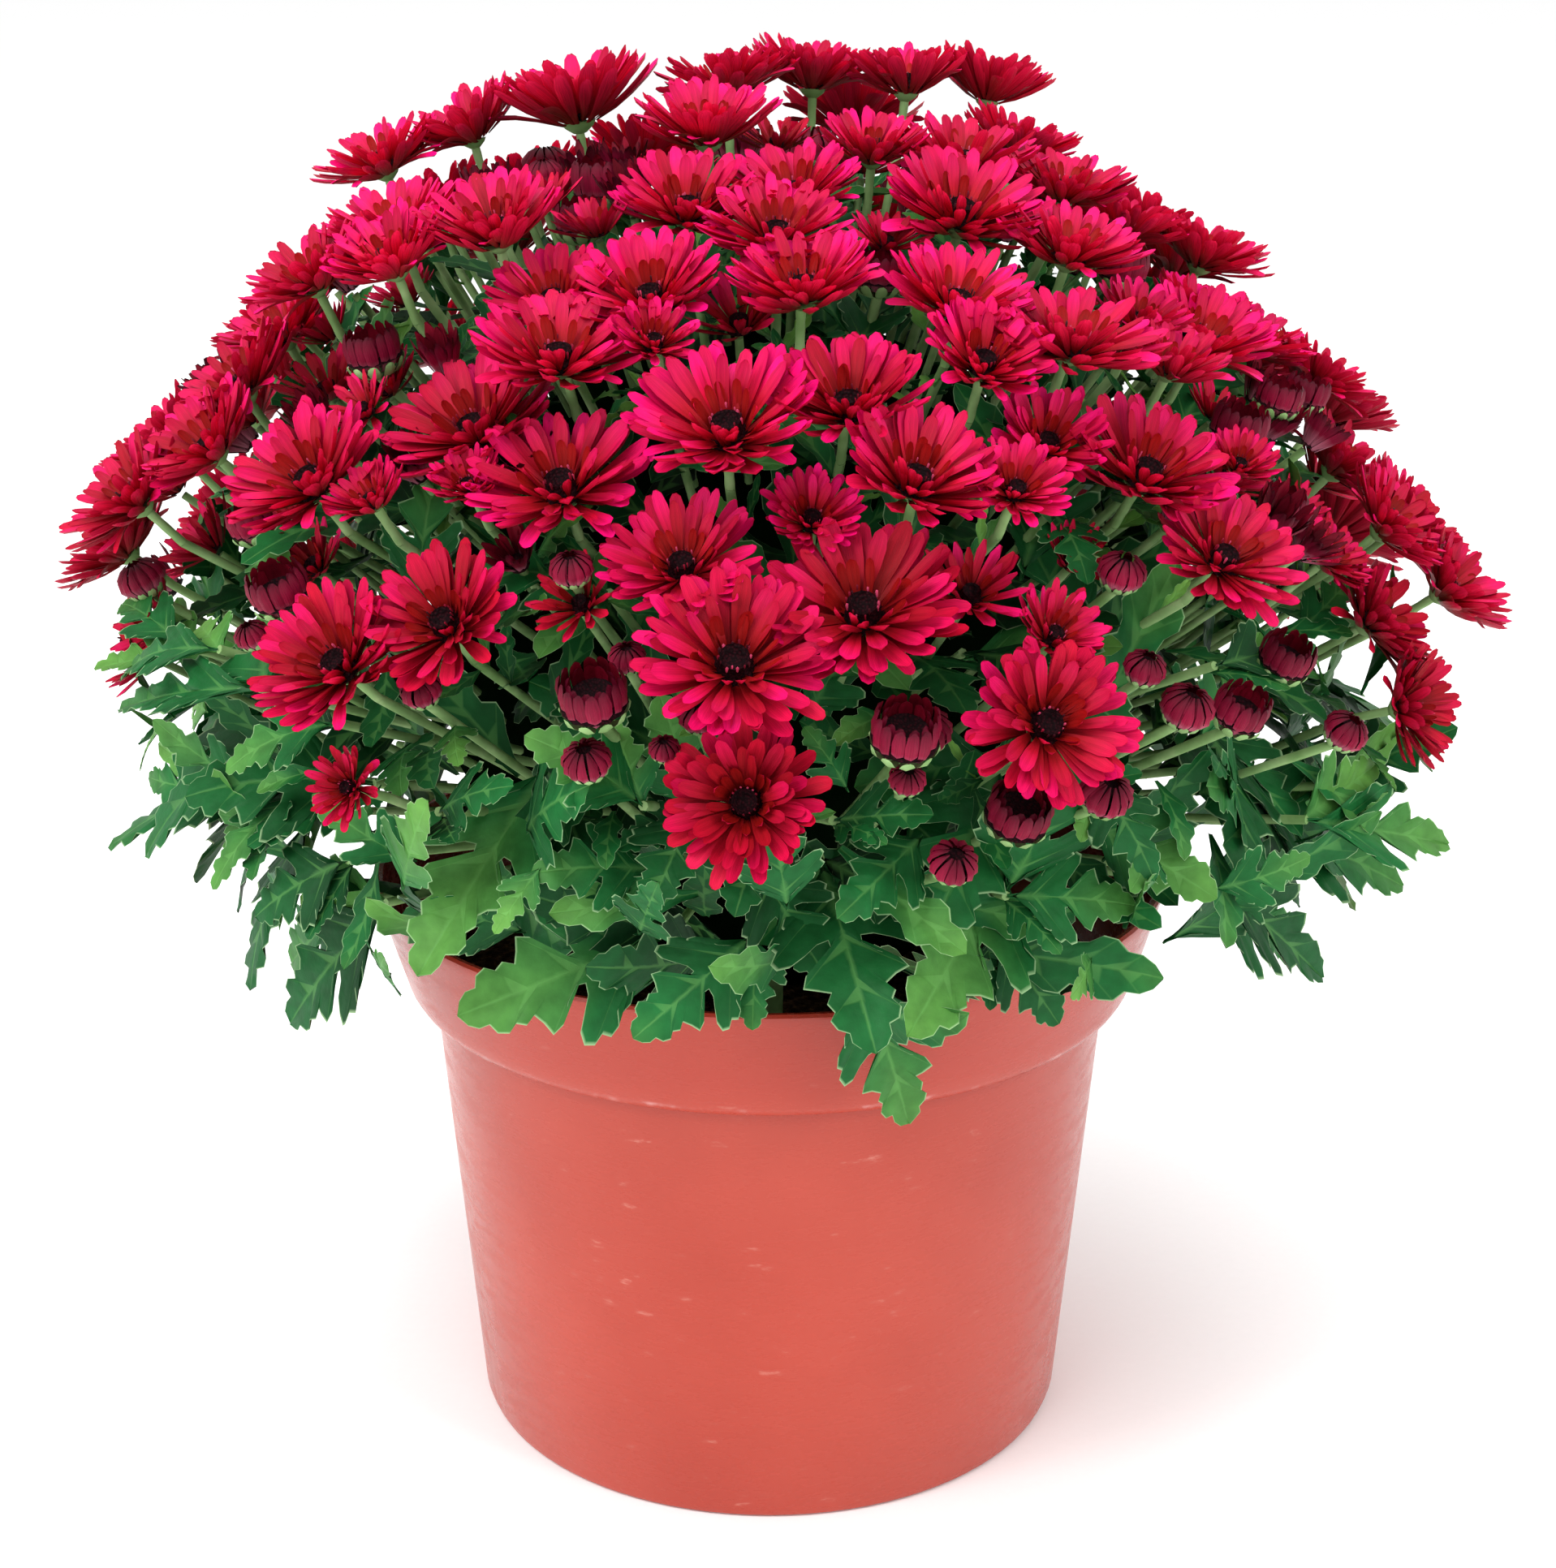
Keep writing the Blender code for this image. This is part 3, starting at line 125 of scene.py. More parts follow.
# Large leaves: stalk end and tip in mm, width in mm
LARGE_LEAVES = (
    (-36.7, -110.4, 236.0, -58.8, -106.5, 238.7, 28), (-25.4, -134.0, 200.4, -46.3, -134.2, 213.8, 26),
    (-26.0, -126.1, 183.4, -46.2, -130.9, 184.6, 24), (-17.6, -129.8, 190.2, -22.9, -140.7, 181.1, 24),
    (-2.8, -135.0, 191.2, -6.6, -145.5, 181.4, 24), (-64.5, -123.0, 194.4, -48.6, -135.5, 204.2, 20),
    (-2.9, -119.5, 167.4, -27.1, -128.5, 148.5, 28), (18.4, -111.8, 157.1, 29.7, -95.6, 113.6, 30),
    (45.6, -108.9, 163.0, 59.5, -108.3, 142.6, 24), (46.7, -121.1, 176.0, 72.4, -121.8, 174.2, 24),
    (67.0, -119.4, 193.4, 75.3, -125.8, 181.0, 24), (20.2, -139.1, 199.0, 30.7, -143.1, 201.1, 20),
    (56.0, -100.0, 247.1, 61.2, -114.9, 238.0, 20), (6.0, -59.6, 260.7, 17.0, -91.4, 259.1, 34),
    (-6.9, -94.2, 234.1, 26.5, -126.6, 220.5, 38), (38.7, -96.8, 218.8, 69.7, -130.0, 211.6, 38),
    (-43.8, -101.5, 197.6, -69.0, -130.8, 162.9, 40), (46.7, -100.0, 198.6, 30.9, -130.5, 169.8, 40),
    (-19.4, -107.8, 163.1, -62.5, -121.8, 150.4, 40), (10.0, -114.0, 181.4, 20.4, -147.4, 154.0, 40),
    (48.8, -102.8, 177.4, 26.6, -143.2, 155.6, 40), (88.6, -101.5, 217.5, 110.8, -90.2, 218.3, 22),
    (123.9, -37.0, 169.4, 153.2, -41.3, 184.7, 24), (113.6, -78.2, 176.3, 150.3, -53.7, 161.6, 26),
    (92.7, -84.4, 165.8, 122.7, -62.5, 133.2, 28), (49.1, -37.0, 259.9, 70.8, -45.3, 290.6, 34),
    (94.6, -7.3, 233.6, 127.5, 17.8, 220.7, 38), (110.0, 13.7, 194.4, 142.1, 15.1, 154.0, 40),
    (92.3, -61.4, 194.4, 98.5, -99.9, 168.6, 40), (106.9, -4.3, 212.3, 136.9, 16.4, 195.6, 40),
    (109.5, 8.7, 163.9, 140.0, -11.8, 128.9, 40), (101.6, -52.0, 179.3, 131.7, -31.7, 147.0, 40),
    (114.8, -5.8, 188.0, 154.5, -16.4, 165.6, 40), (111.8, 15.3, 156.0, 120.5, 16.1, 120.2, 38),
    (97.4, -48.8, 149.2, 123.2, -27.3, 125.5, 38), (109.2, -35.7, 160.4, 148.5, -22.0, 139.2, 38),
    (26.8, 31.3, 268.0, 50.5, 36.1, 289.1, 30), (37.0, 63.4, 253.0, 46.8, 97.3, 256.9, 34),
    (86.0, 49.0, 228.1, 112.2, 91.2, 213.5, 38), (43.9, 79.1, 238.6, 45.0, 123.3, 229.3, 38),
    (78.0, 79.0, 189.1, 106.7, 103.4, 158.8, 40), (27.2, 107.4, 194.8, 62.8, 123.7, 167.2, 40),
    (82.2, 73.0, 164.1, 115.9, 59.7, 134.8, 40), (58.8, 92.8, 163.9, 69.9, 121.1, 129.7, 40),
    (35.1, 104.3, 164.3, 21.0, 136.4, 140.9, 40), (78.3, 79.7, 153.9, 111.5, 109.2, 133.2, 38),
    (34.6, 101.3, 146.1, 41.9, 134.4, 121.6, 38), (-18.0, 77.7, 248.4, -49.1, 98.8, 240.7, 34),
    (-37.3, 92.5, 226.9, -72.4, 105.7, 215.5, 38), (-61.2, 69.5, 236.3, -99.3, 75.9, 236.4, 38),
    (-37.5, 104.5, 188.6, -28.1, 135.9, 154.6, 40), (-64.6, 90.2, 190.5, -86.7, 123.8, 153.8, 40),
    (-66.3, 88.0, 164.6, -50.2, 117.2, 127.8, 40), (-90.3, 62.0, 163.2, -112.4, 99.2, 130.6, 40),
    (-33.3, 106.1, 152.9, -20.0, 122.6, 122.7, 38), (-59.5, 97.5, 158.9, -103.6, 99.7, 139.8, 38),
    (-95.7, 52.1, 149.2, -82.8, 75.9, 118.7, 38), (-123.4, -67.3, 211.4, -141.6, -43.7, 213.9, 18),
    (-112.6, -85.5, 216.1, -138.1, -63.9, 203.1, 20), (-101.7, -102.3, 213.1, -139.8, -61.8, 195.5, 20),
    (-93.6, -106.7, 203.9, -108.6, -107.5, 197.3, 24), (-87.0, -95.9, 174.0, -108.2, -88.3, 158.3, 26),
    (-17.8, -11.0, 272.5, -30.1, -7.1, 299.3, 30), (-56.7, -14.2, 261.4, -93.6, -0.4, 261.6, 34),
    (-100.0, 11.5, 225.4, -121.7, -23.5, 234.2, 38), (-68.2, -59.8, 238.4, -107.5, -83.3, 233.5, 38),
    (-110.1, 13.7, 188.8, -150.0, -2.0, 167.5, 40), (-99.2, -49.7, 191.3, -139.7, -48.5, 156.6, 40),
    (-91.6, -55.5, 212.0, -96.2, -96.6, 204.7, 40), (-110.7, 0.2, 166.1, -123.5, -29.8, 135.6, 40),
    (-101.9, -42.4, 165.3, -115.5, -62.6, 130.2, 40), (-83.3, -79.0, 184.7, -123.7, -76.6, 180.9, 40),
    (-114.7, 16.3, 163.0, -144.0, 23.2, 122.3, 38), (-114.7, -3.8, 160.3, -159.5, -1.1, 141.0, 38),
    (-94.5, -47.0, 144.0, -112.8, -24.6, 120.7, 38), (-81.9, -78.7, 157.6, -107.4, -60.5, 121.3, 38),
)


def hexed(code):
    """Linear colour of an sRGB hex value."""
    parts = [int(code[k:k + 2], 16) / 255.0 for k in (1, 3, 5)]
    return tuple(p / 12.92 if p <= 0.04045 else ((p + 0.055) / 1.055) ** 2.4 for p in parts) + (1.0,)


def node(tree, kind, links=(), values=(), stops=(), **settings):
    """Add a shader node with its settings, socket values, colour stops and links."""
    made = tree.nodes.new("ShaderNode" + kind)
    for name, value in settings.items():
        setattr(made, name, value)
    for socket, value in dict(values).items():
        made.inputs[socket].default_value = value
    for socket, source in dict(links).items():
        tree.links.new(source, made.inputs[socket])
    for index, (place, colour) in enumerate(stops):
        elements = made.color_ramp.elements
        stop = elements[index] if index < len(elements) else elements.new(place)
        stop.position = place
        stop.color = hexed(colour)
    return made


def new_material(name, **values):
    """A material with its Principled shader, whose plain values are set on its sockets."""
    made = bpy.data.materials.new(name)
    made.use_nodes = True
    shader = made.node_tree.nodes["Principled BSDF"]
    for socket, value in values.items():
        shader.inputs[socket.replace("_", " ")].default_value = value
    return made, made.node_tree, shader


def deselect():
    bpy.ops.object.select_all(action="DESELECT")


def start_edit(piece):
    """Edit one piece alone, with nothing of it selected."""
    deselect()
    piece.select_set(True)
    bpy.context.view_layer.objects.active = piece
    bpy.ops.object.mode_set(mode="EDIT")
    bpy.ops.mesh.select_all(action="DESELECT")


def end_edit():
    bpy.ops.object.mode_set(mode="OBJECT")


def pick(piece, wanted):
    """Select the corners that a rule names, in edit mode."""
    bpy.ops.mesh.select_all(action="DESELECT")
    bpy.ops.object.mode_set(mode="OBJECT")
    for corner in piece.data.vertices:
        corner.select = bool(wanted(corner.index, corner.co))
    bpy.ops.object.mode_set(mode="EDIT")


def shape_of(piece, paint=0):
    """The arrays of a modelled piece, to copy it with. The model itself is removed."""
    data = piece.data
    shape = {"co": np.empty(len(data.vertices) * 3), "loop": np.empty(len(data.loops), np.int32),
             "total": np.empty(len(data.polygons), np.int32),
             "paint": np.full(len(data.polygons), paint, np.int32)}
    data.vertices.foreach_get("co", shape["co"])
    data.loops.foreach_get("vertex_index", shape["loop"])
    data.polygons.foreach_get("loop_total", shape["total"])
    shape["co"] = shape["co"].reshape(-1, 3)
    shape["uv"] = np.zeros(len(data.loops) * 2)
    if data.uv_layers:
        data.uv_layers[0].data.foreach_get("uv", shape["uv"])
    for name in ("vein", "edge"):
        shape[name] = np.zeros(len(data.vertices))
        if name in data.attributes:
            data.attributes[name].data.foreach_get("value", shape[name])
    bpy.data.objects.remove(piece)
    return shape


def lay_out(name, copies, materials, nodes, sharp=60.0):
    """One piece from many copies of modelled shapes: each is (shape, matrix, tone, row)."""
    spots, loops, totals, uvs, paints = [], [], [], [], []
    marks = {"tone": [], "row": [], "vein": [], "edge": []}
    count = 0
    for shape, matrix, tone, row in copies:
        turn = np.array(matrix)
        spots.append(shape["co"] @ turn[:3, :3].T + turn[:3, 3])
        loops.append(shape["loop"] + count)
        count += len(shape["co"])
        totals.append(shape["total"])
        uvs.append(shape["uv"])
        paints.append(shape["paint"])
        marks["tone"].append(np.full(len(shape["co"]), tone))
        marks["row"].append(np.full(len(shape["co"]), row))
        marks["vein"].append(shape["vein"])
        marks["edge"].append(shape["edge"])
    spots, loops, totals = np.concatenate(spots), np.concatenate(loops), np.concatenate(totals)
    data = bpy.data.meshes.new(name)
    data.vertices.add(len(spots))
    data.vertices.foreach_set("co", spots.ravel())
    data.loops.add(len(loops))
    data.loops.foreach_set("vertex_index", loops)
    data.polygons.add(len(totals))
    data.polygons.foreach_set("loop_start", np.concatenate(([0], np.cumsum(totals)[:-1])))
    data.polygons.foreach_set("loop_total", totals)
    data.polygons.foreach_set("material_index", np.concatenate(paints))
    data.uv_layers.new(name="along").data.foreach_set("uv", np.concatenate(uvs))
    for label, values in marks.items():
        data.attributes.new(label, "FLOAT", "POINT").data.foreach_set("value", np.concatenate(values))
    data.update()
    data.validate()
    piece = bpy.data.objects.new(name, data)
    bpy.context.scene.collection.objects.link(piece)
    for material in materials:
        data.materials.append(material)
    finish_piece(piece, nodes, sharp)
    return piece


def finish_piece(piece, nodes, sharp=40.0):
    """Shade a piece, hang it from the root body, and hide the solids it stands for."""
    deselect()
    piece.select_set(True)
    bpy.context.view_layer.objects.active = piece
    bpy.ops.object.shade_smooth_by_angle(angle=math.radians(sharp))
    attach(piece, "root")
    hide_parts(*nodes)


def facing(point):
    """Where a flower at this point looks: out of the dome and a little up."""
    out = Vector((point.x / DOME_RADIUS ** 2, point.y / DOME_RADIUS ** 2,
                  (point.z - DOME_MIDDLE) / DOME_HEIGHT ** 2)).normalized()
    lift = FACE_UP * min(1.0, max(0.0, (point.z - FACE_OUT_BELOW) / 0.05))
    return (out + Vector((0.0, 0.0, lift))).normalized()


def frame_at(place, look, spin=0.0, size=1.0):
    """Placement of a shape whose axis is +Z, looking along a direction."""
    turn = look.to_track_quat("Z", "Y").to_matrix().to_4x4()
    return Matrix.Translation(place) @ turn @ Matrix.Rotation(spin, 4, "Z") @ Matrix.Scale(size, 4)


def on_dome(azimuth, polar, share):
    """Point at an azimuth and an angle from the top, on the dome shrunk to a share."""
    ring = DOME_RADIUS * share * math.sin(polar)
    height = DOME_MIDDLE + DOME_HEIGHT * share * math.cos(polar)
    return Vector((ring * math.cos(azimuth), ring * math.sin(azimuth), height))


def dome_share(point):
    """How far out a point is: 1 on the dome, 0 at its middle."""
    return math.sqrt((point.x ** 2 + point.y ** 2) / DOME_RADIUS ** 2
                     + ((point.z - DOME_MIDDLE) / DOME_HEIGHT) ** 2)


def toward_core(point, share):
    """Where the way from the stalks' source to a point leaves the shrunk dome."""
    low, high = 0.0, 1.0
    for _ in range(12):
        middle = (low + high) / 2
        inside = dome_share(STALK_SOURCE.lerp(point, middle)) < share
        low, high = (middle, high) if inside else (low, middle)
    return STALK_SOURCE.lerp(point, low)


def cutting_of(point):
    """Number of the cutting that carries what stands at this azimuth."""
    turn = (math.atan2(point.y, point.x) - FIRST_EDGE) % (2.0 * math.pi)
    return int(turn / (2.0 * math.pi) * CUTTINGS) + 1


# Petals and leaves: one grid, its columns set along an arc, a second sheet under it ------------
# Stations along a petal: share of its length, and half its width as a share of the widest
PETAL_STATIONS = ((0.0, 0.32), (0.28, 0.56), (0.54, 0.88), (0.78, 1.0), (0.94, 0.74), (1.0, 0.26))
PLAIN_STATIONS = ((0.0, 0.40), (0.42, 0.82), (0.80, 1.0), (1.0, 0.34))
WRAP_STATIONS = ((0.0, 0.30), (0.22, 0.80), (0.45, 1.0), (0.68, 0.86), (0.88, 0.50), (1.0, 0.16))
PETAL_THICK = 0.016         # share of the flower's radius, a quarter of a millimetre


def model_petal(name, start, bend, tip, wide, hollow, stations=PETAL_STATIONS, paint=0):
    """A petal over +X with its inner side towards +Z, on a quadratic arc from start to tip.

    The middle line lies hollow below the edges, which the two sheets share.
    """
    start, bend, tip = (Vector((r, 0.0, z)) for r, z in (start, bend, tip))
    deselect()
    across = len(stations)
    bpy.ops.mesh.primitive_grid_add(x_subdivisions=across - 1, y_subdivisions=2, size=2.0)
    piece = bpy.context.object
    piece.name = name
    start_edit(piece)
    sides = []
    for k, (share, half) in enumerate(stations):
        place = start.lerp(bend, share).lerp(bend.lerp(tip, share), share)
        ahead = (bend.lerp(tip, share) - start.lerp(bend, share)).normalized()
        inside = Vector((-ahead.z, 0.0, ahead.x))
        sides.append(inside)
        flat = Vector((2.0 * k / (across - 1) - 1.0, 0.0, 0.0))
        pick(piece, lambda index, co: index % across == k)
        bpy.ops.transform.resize(value=(1.0, half * wide, 1.0), center_override=(0, 0, 0))
        bpy.ops.transform.translate(value=place - flat)
        pick(piece, lambda index, co: index == across + k)
        bpy.ops.transform.translate(value=-inside * hollow * half)
    bpy.ops.mesh.select_all(action="SELECT")
    bpy.ops.mesh.duplicate()
    bpy.ops.mesh.flip_normals()
    for k, inside in enumerate(sides[1:-1], 1):
        pick(piece, lambda index, co: index == 4 * across + k)
        bpy.ops.transform.translate(value=-inside * PETAL_THICK)
    bpy.ops.mesh.select_all(action="SELECT")
    bpy.ops.mesh.remove_doubles(threshold=1e-5)
    end_edit()
    faces = list(piece.data.polygons)
    uv = piece.data.uv_layers[0].data
    for face in faces[len(faces) // 2:]:
        for loop in face.loop_indices:
            uv[loop].uv.y += 1.0
    return shape_of(piece, paint)


# Half of a leaf's outline, from its foot to its tip: along and across, the length being 1
LEAF_OUTLINE = ((0.0, 0.012), (0.09, 0.020), (0.17, 0.045), (0.23, 0.105), (0.27, 0.185), (0.30, 0.24),
                (0.345, 0.262), (0.365, 0.245), (0.385, 0.315), (0.43, 0.345), (0.462, 0.318),
                (0.51, 0.352), (0.550, 0.335), (0.545, 0.275), (0.50, 0.20), (0.455, 0.130),
                (0.445, 0.075), (0.49, 0.070), (0.545, 0.125), (0.60, 0.215), (0.655, 0.240),
                (0.675, 0.175), (0.700, 0.125), (0.745, 0.155), (0.785, 0.130), (0.825, 0.160),
                (0.870, 0.140), (0.890, 0.090), (0.935, 0.090), (0.972, 0.060), (1.0, 0.004))
# Stations where a side vein ends, and where it leaves the rib
LEAF_VEINS = {0: 0.0, 11: 0.20, 20: 0.44, 25: 0.68, 30: 1.0}
LEAF_WIDTH = 0.705                      # of the outline, both halves
SMALL_OUTLINE = ((0.0, 0.03), (0.12, 0.05), (0.26, 0.12), (0.36, 0.19), (0.44, 0.20), (0.50, 0.13),
                 (0.58, 0.14), (0.66, 0.20), (0.74, 0.19), (0.80, 0.12), (0.88, 0.12), (0.95, 0.08),
                 (1.0, 0.004))
SMALL_VEINS = {0: 0.0, 4: 0.22, 8: 0.54, 10: 0.76, 12: 1.0}


def model_leaf(name, outline, veins, bow, cup, wave, paint=0):
    """A lobed leaf along +X, top side towards +Z, bowed between its ends, its halves raised by cup."""
    deselect()
    across = len(outline)
    bpy.ops.mesh.primitive_grid_add(x_subdivisions=across - 1, y_subdivisions=4, size=2.0)
    piece = bpy.context.object
    piece.name = name
    start_edit(piece)
    ribs = np.interp(range(across), list(veins), list(veins.values()))
    for k, (along, half) in enumerate(outline):
        flat = 2.0 * k / (across - 1) - 1.0
        rib = float(ribs[k])
        ripple = wave * math.sin(k * 1.9)
        for side in (-1, 1):
            for step, share in ((1, 0.55), (2, 1.0)):
                line = 2 + side * step
                pick(piece, lambda index, co: index == line * across + k)
                x = rib + (along - rib) * share
                y = side * half * share
                z = 4.0 * bow * x * (1.0 - x) + cup * abs(y) + (ripple * side if step == 2 else 0.0)
                z += (0.004 if k not in veins else -0.003) if step == 1 else 0.0
                bpy.ops.transform.translate(value=(x - flat, y - side * step * 0.5, z))
        pick(piece, lambda index, co: index == 2 * across + k)
        bpy.ops.transform.translate(value=(rib - flat, 0.0, 4.0 * bow * rib * (1.0 - rib) - 0.006))
    bpy.ops.mesh.select_all(action="SELECT")
    bpy.ops.mesh.duplicate()
    bpy.ops.mesh.flip_normals()
    pick(piece, lambda index, co: 5 < index // across < 9 and 0 < index % across < across - 1)
    bpy.ops.transform.translate(value=(0.0, 0.0, -0.012))
    bpy.ops.mesh.select_all(action="SELECT")
    bpy.ops.mesh.remove_doubles(threshold=1e-5)
    end_edit()
    vein = piece.data.attributes.new("vein", "FLOAT", "POINT")
    edge = piece.data.attributes.new("edge", "FLOAT", "POINT")
    marks = []
    for k, (along, half) in enumerate(outline):
        rib = float(ribs[k])
        for share in (0.0, 0.55, 1.0):
            marks.append((rib + (along - rib) * share, half * share, share, k))
    marks = np.array(marks)
    for corner in piece.data.vertices:
        near = np.argmin(np.hypot(marks[:, 0] - corner.co.x, marks[:, 1] - abs(corner.co.y)))
        share, k = marks[near, 2], int(marks[near, 3])
        edge.data[corner.index].value = share
        vein.data[corner.index].value = 1.0 if share == 0.0 else 0.88 if k in veins else 0.0
    return shape_of(piece, paint)


def model_turned(name, profile, steps, paint=0):
    """A closed form about +Z from its profile of (radius, height), from the foot to the top."""
    (_, low), rings, (_, high) = profile[0], profile[1:-1], profile[-1]
    deselect()
    bpy.ops.mesh.primitive_circle_add(vertices=steps, radius=rings[0][0], location=(0, 0, 0))
    piece = bpy.context.object
    piece.name = name
    start_edit(piece)
    bpy.ops.mesh.select_all(action="SELECT")
    bpy.ops.transform.translate(value=(0, 0, rings[0][1]))
    bpy.ops.mesh.extrude_region_move()
    bpy.ops.transform.translate(value=(0, 0, low - rings[0][1]))
    bpy.ops.mesh.merge(type="CENTER")
    pick(piece, lambda index, co: index < steps)
    for (before, under), (radius, height) in zip(rings, rings[1:]):
        bpy.ops.mesh.extrude_region_move()
        bpy.ops.transform.resize(value=(radius / before,) * 2 + (1.0,), center_override=(0, 0, 0))
        bpy.ops.transform.translate(value=(0, 0, height - under))
    bpy.ops.mesh.extrude_region_move()
    bpy.ops.transform.translate(value=(0, 0, high - rings[-1][1]))
    bpy.ops.mesh.merge(type="CENTER")
    bpy.ops.mesh.select_all(action="SELECT")
    bpy.ops.mesh.normals_make_consistent(inside=False)
    end_edit()
    return piece


# Materials ------------------------------------------------------------------------------------
def petal_material(name, base, tip, pink, inner, outside):
    """Petals: silky, deeper red towards the foot and in the inner rows, fine lines lengthwise.

    The tone turns the tip from deep red to pink and sets how bright the petal is; it is raised for
    flowers in the light and lowered for those in shade, as painted light and shade, and also varies at random.
    Outside has the colours of the petal's other side, from its foot to its tip.
    """
    made, tree, shader = new_material(name, Roughness=0.45, Specular_IOR_Level=0.10)
    uv = node(tree, "UVMap", uv_map="along").outputs["UV"]
    split = node(tree, "SeparateXYZ", {"Vector": uv})
    row = node(tree, "Attribute", attribute_name="row").outputs["Fac"]
    tone = node(tree, "Attribute", attribute_name="tone").outputs["Fac"]
    deep = node(tree, "ValToRGB", {"Fac": split.outputs["X"]}, stops=((0.10, base), (0.72, tip)))
    light = node(tree, "ValToRGB", {"Fac": split.outputs["X"]}, stops=((0.06, base), (0.30, tip), (0.68, pink)))
    # Painted light: a high tone, given to lit flowers, turns the tips pink
    lit = node(tree, "MapRange", {0: tone}, {1: 0.78, 2: 1.12})
    along = node(tree, "Mix", {0: lit.outputs[0], 6: deep.outputs["Color"], 7: light.outputs["Color"]},
                 data_type="RGBA")
    inward = node(tree, "ValToRGB", {"Fac": split.outputs["X"]}, stops=((0.10, base), (0.85, inner)))
    rows = node(tree, "Mix", {0: row, 6: along.outputs[2], 7: inward.outputs["Color"]},
                data_type="RGBA")
    # Lines 0.2 mm apart across a petal 4 mm wide, drawn out along it
    drawn = node(tree, "Mapping", {"Vector": uv}, {"Scale": (1.2, 20.0, 1.0)})
    lines = node(tree, "TexNoise", {"Vector": drawn.outputs["Vector"]}, {"Scale": 1.0, "Detail": 3.0})
    shade = node(tree, "ValToRGB", {"Fac": lines.outputs["Fac"]}, stops=((0.32, "#A8A8A8"), (0.62, "#FFFFFF")))
    lined = node(tree, "Mix", {6: rows.outputs[2], 7: shade.outputs["Color"]}, {0: 0.55},
                 data_type="RGBA", blend_type="MULTIPLY")
    turned = node(tree, "Math", {0: split.outputs["Y"]}, {1: 1.0}, operation="GREATER_THAN")
    back = node(tree, "ValToRGB", {"Fac": split.outputs["X"]}, stops=tuple(zip((0.1, 0.45, 0.9), outside)))
    dull = node(tree, "Mix", {6: back.outputs["Color"], 7: shade.outputs["Color"]}, {0: 0.7},
                data_type="RGBA", blend_type="MULTIPLY")
    sides = node(tree, "Mix", {0: turned.outputs[0], 6: lined.outputs[2], 7: dull.outputs[2]},
                 data_type="RGBA")
    # Painted light and shade: the tone also brightens lit petals and darkens shaded ones
    painted_light_and_tone = node(tree, "HueSaturation", {"Color": sides.outputs[2], "Value": tone})
    tree.links.new(painted_light_and_tone.outputs["Color"], shader.inputs["Base Color"])
    ridge = node(tree, "Bump", {"Height": lines.outputs["Fac"]}, {"Strength": 0.35, "Distance": 0.0004})
    tree.links.new(ridge.outputs["Normal"], shader.inputs["Normal"])
    return made


# Open petals, bright crimson pink where the light falls on them and red at the foot
OPEN_PETAL = petal_material("petal_crimson_pink", "#84100E", "#E8123C", "#FA107E", "#A41014",
                            ("#A01422", "#C41436", "#E01848"))
# Petals of flowers that are still closed: maroon, pale pink at the foot outside, dark at the tip
CLOSED_PETAL = petal_material("petal_dark_maroon", "#30040C", "#720C22", "#A0102E", "#520814",
                              ("#D07890", "#8C1034", "#520A1E"))


def eye_material():
    """The eye of a flower: nearly black, grained by the unopened florets."""
    made, tree, shader = new_material("eye_near_black", Roughness=0.7, Specular_IOR_Level=0.08)
    place = node(tree, "TexCoord").outputs["Object"]
    grain = node(tree, "TexVoronoi", {"Vector": place}, {"Scale": 1600.0})
    colour = node(tree, "ValToRGB", {"Fac": grain.outputs["Distance"]},
                  stops=((0.1, "#2E0710"), (0.6, "#120306")))
    tree.links.new(colour.outputs["Color"], shader.inputs["Base Color"])
    bump = node(tree, "Bump", {"Height": grain.outputs["Distance"]}, {"Strength": 0.6, "Distance": 0.0004})
    tree.links.new(bump.outputs["Normal"], shader.inputs["Normal"])
    return made


def floret_material():
    """Tips of the tiny florets in the eye: pink points on dark stems."""
    made, tree, shader = new_material("floret_pink_tip", Roughness=0.5)
    row = node(tree, "Attribute", attribute_name="row").outputs["Fac"]
    colour = node(tree, "ValToRGB", {"Fac": row}, stops=((0.0, "#3A0816"), (0.5, "#A01438"), (1.0, "#E85A86")))
    tree.links.new(colour.outputs["Color"], shader.inputs["Base Color"])
    return made


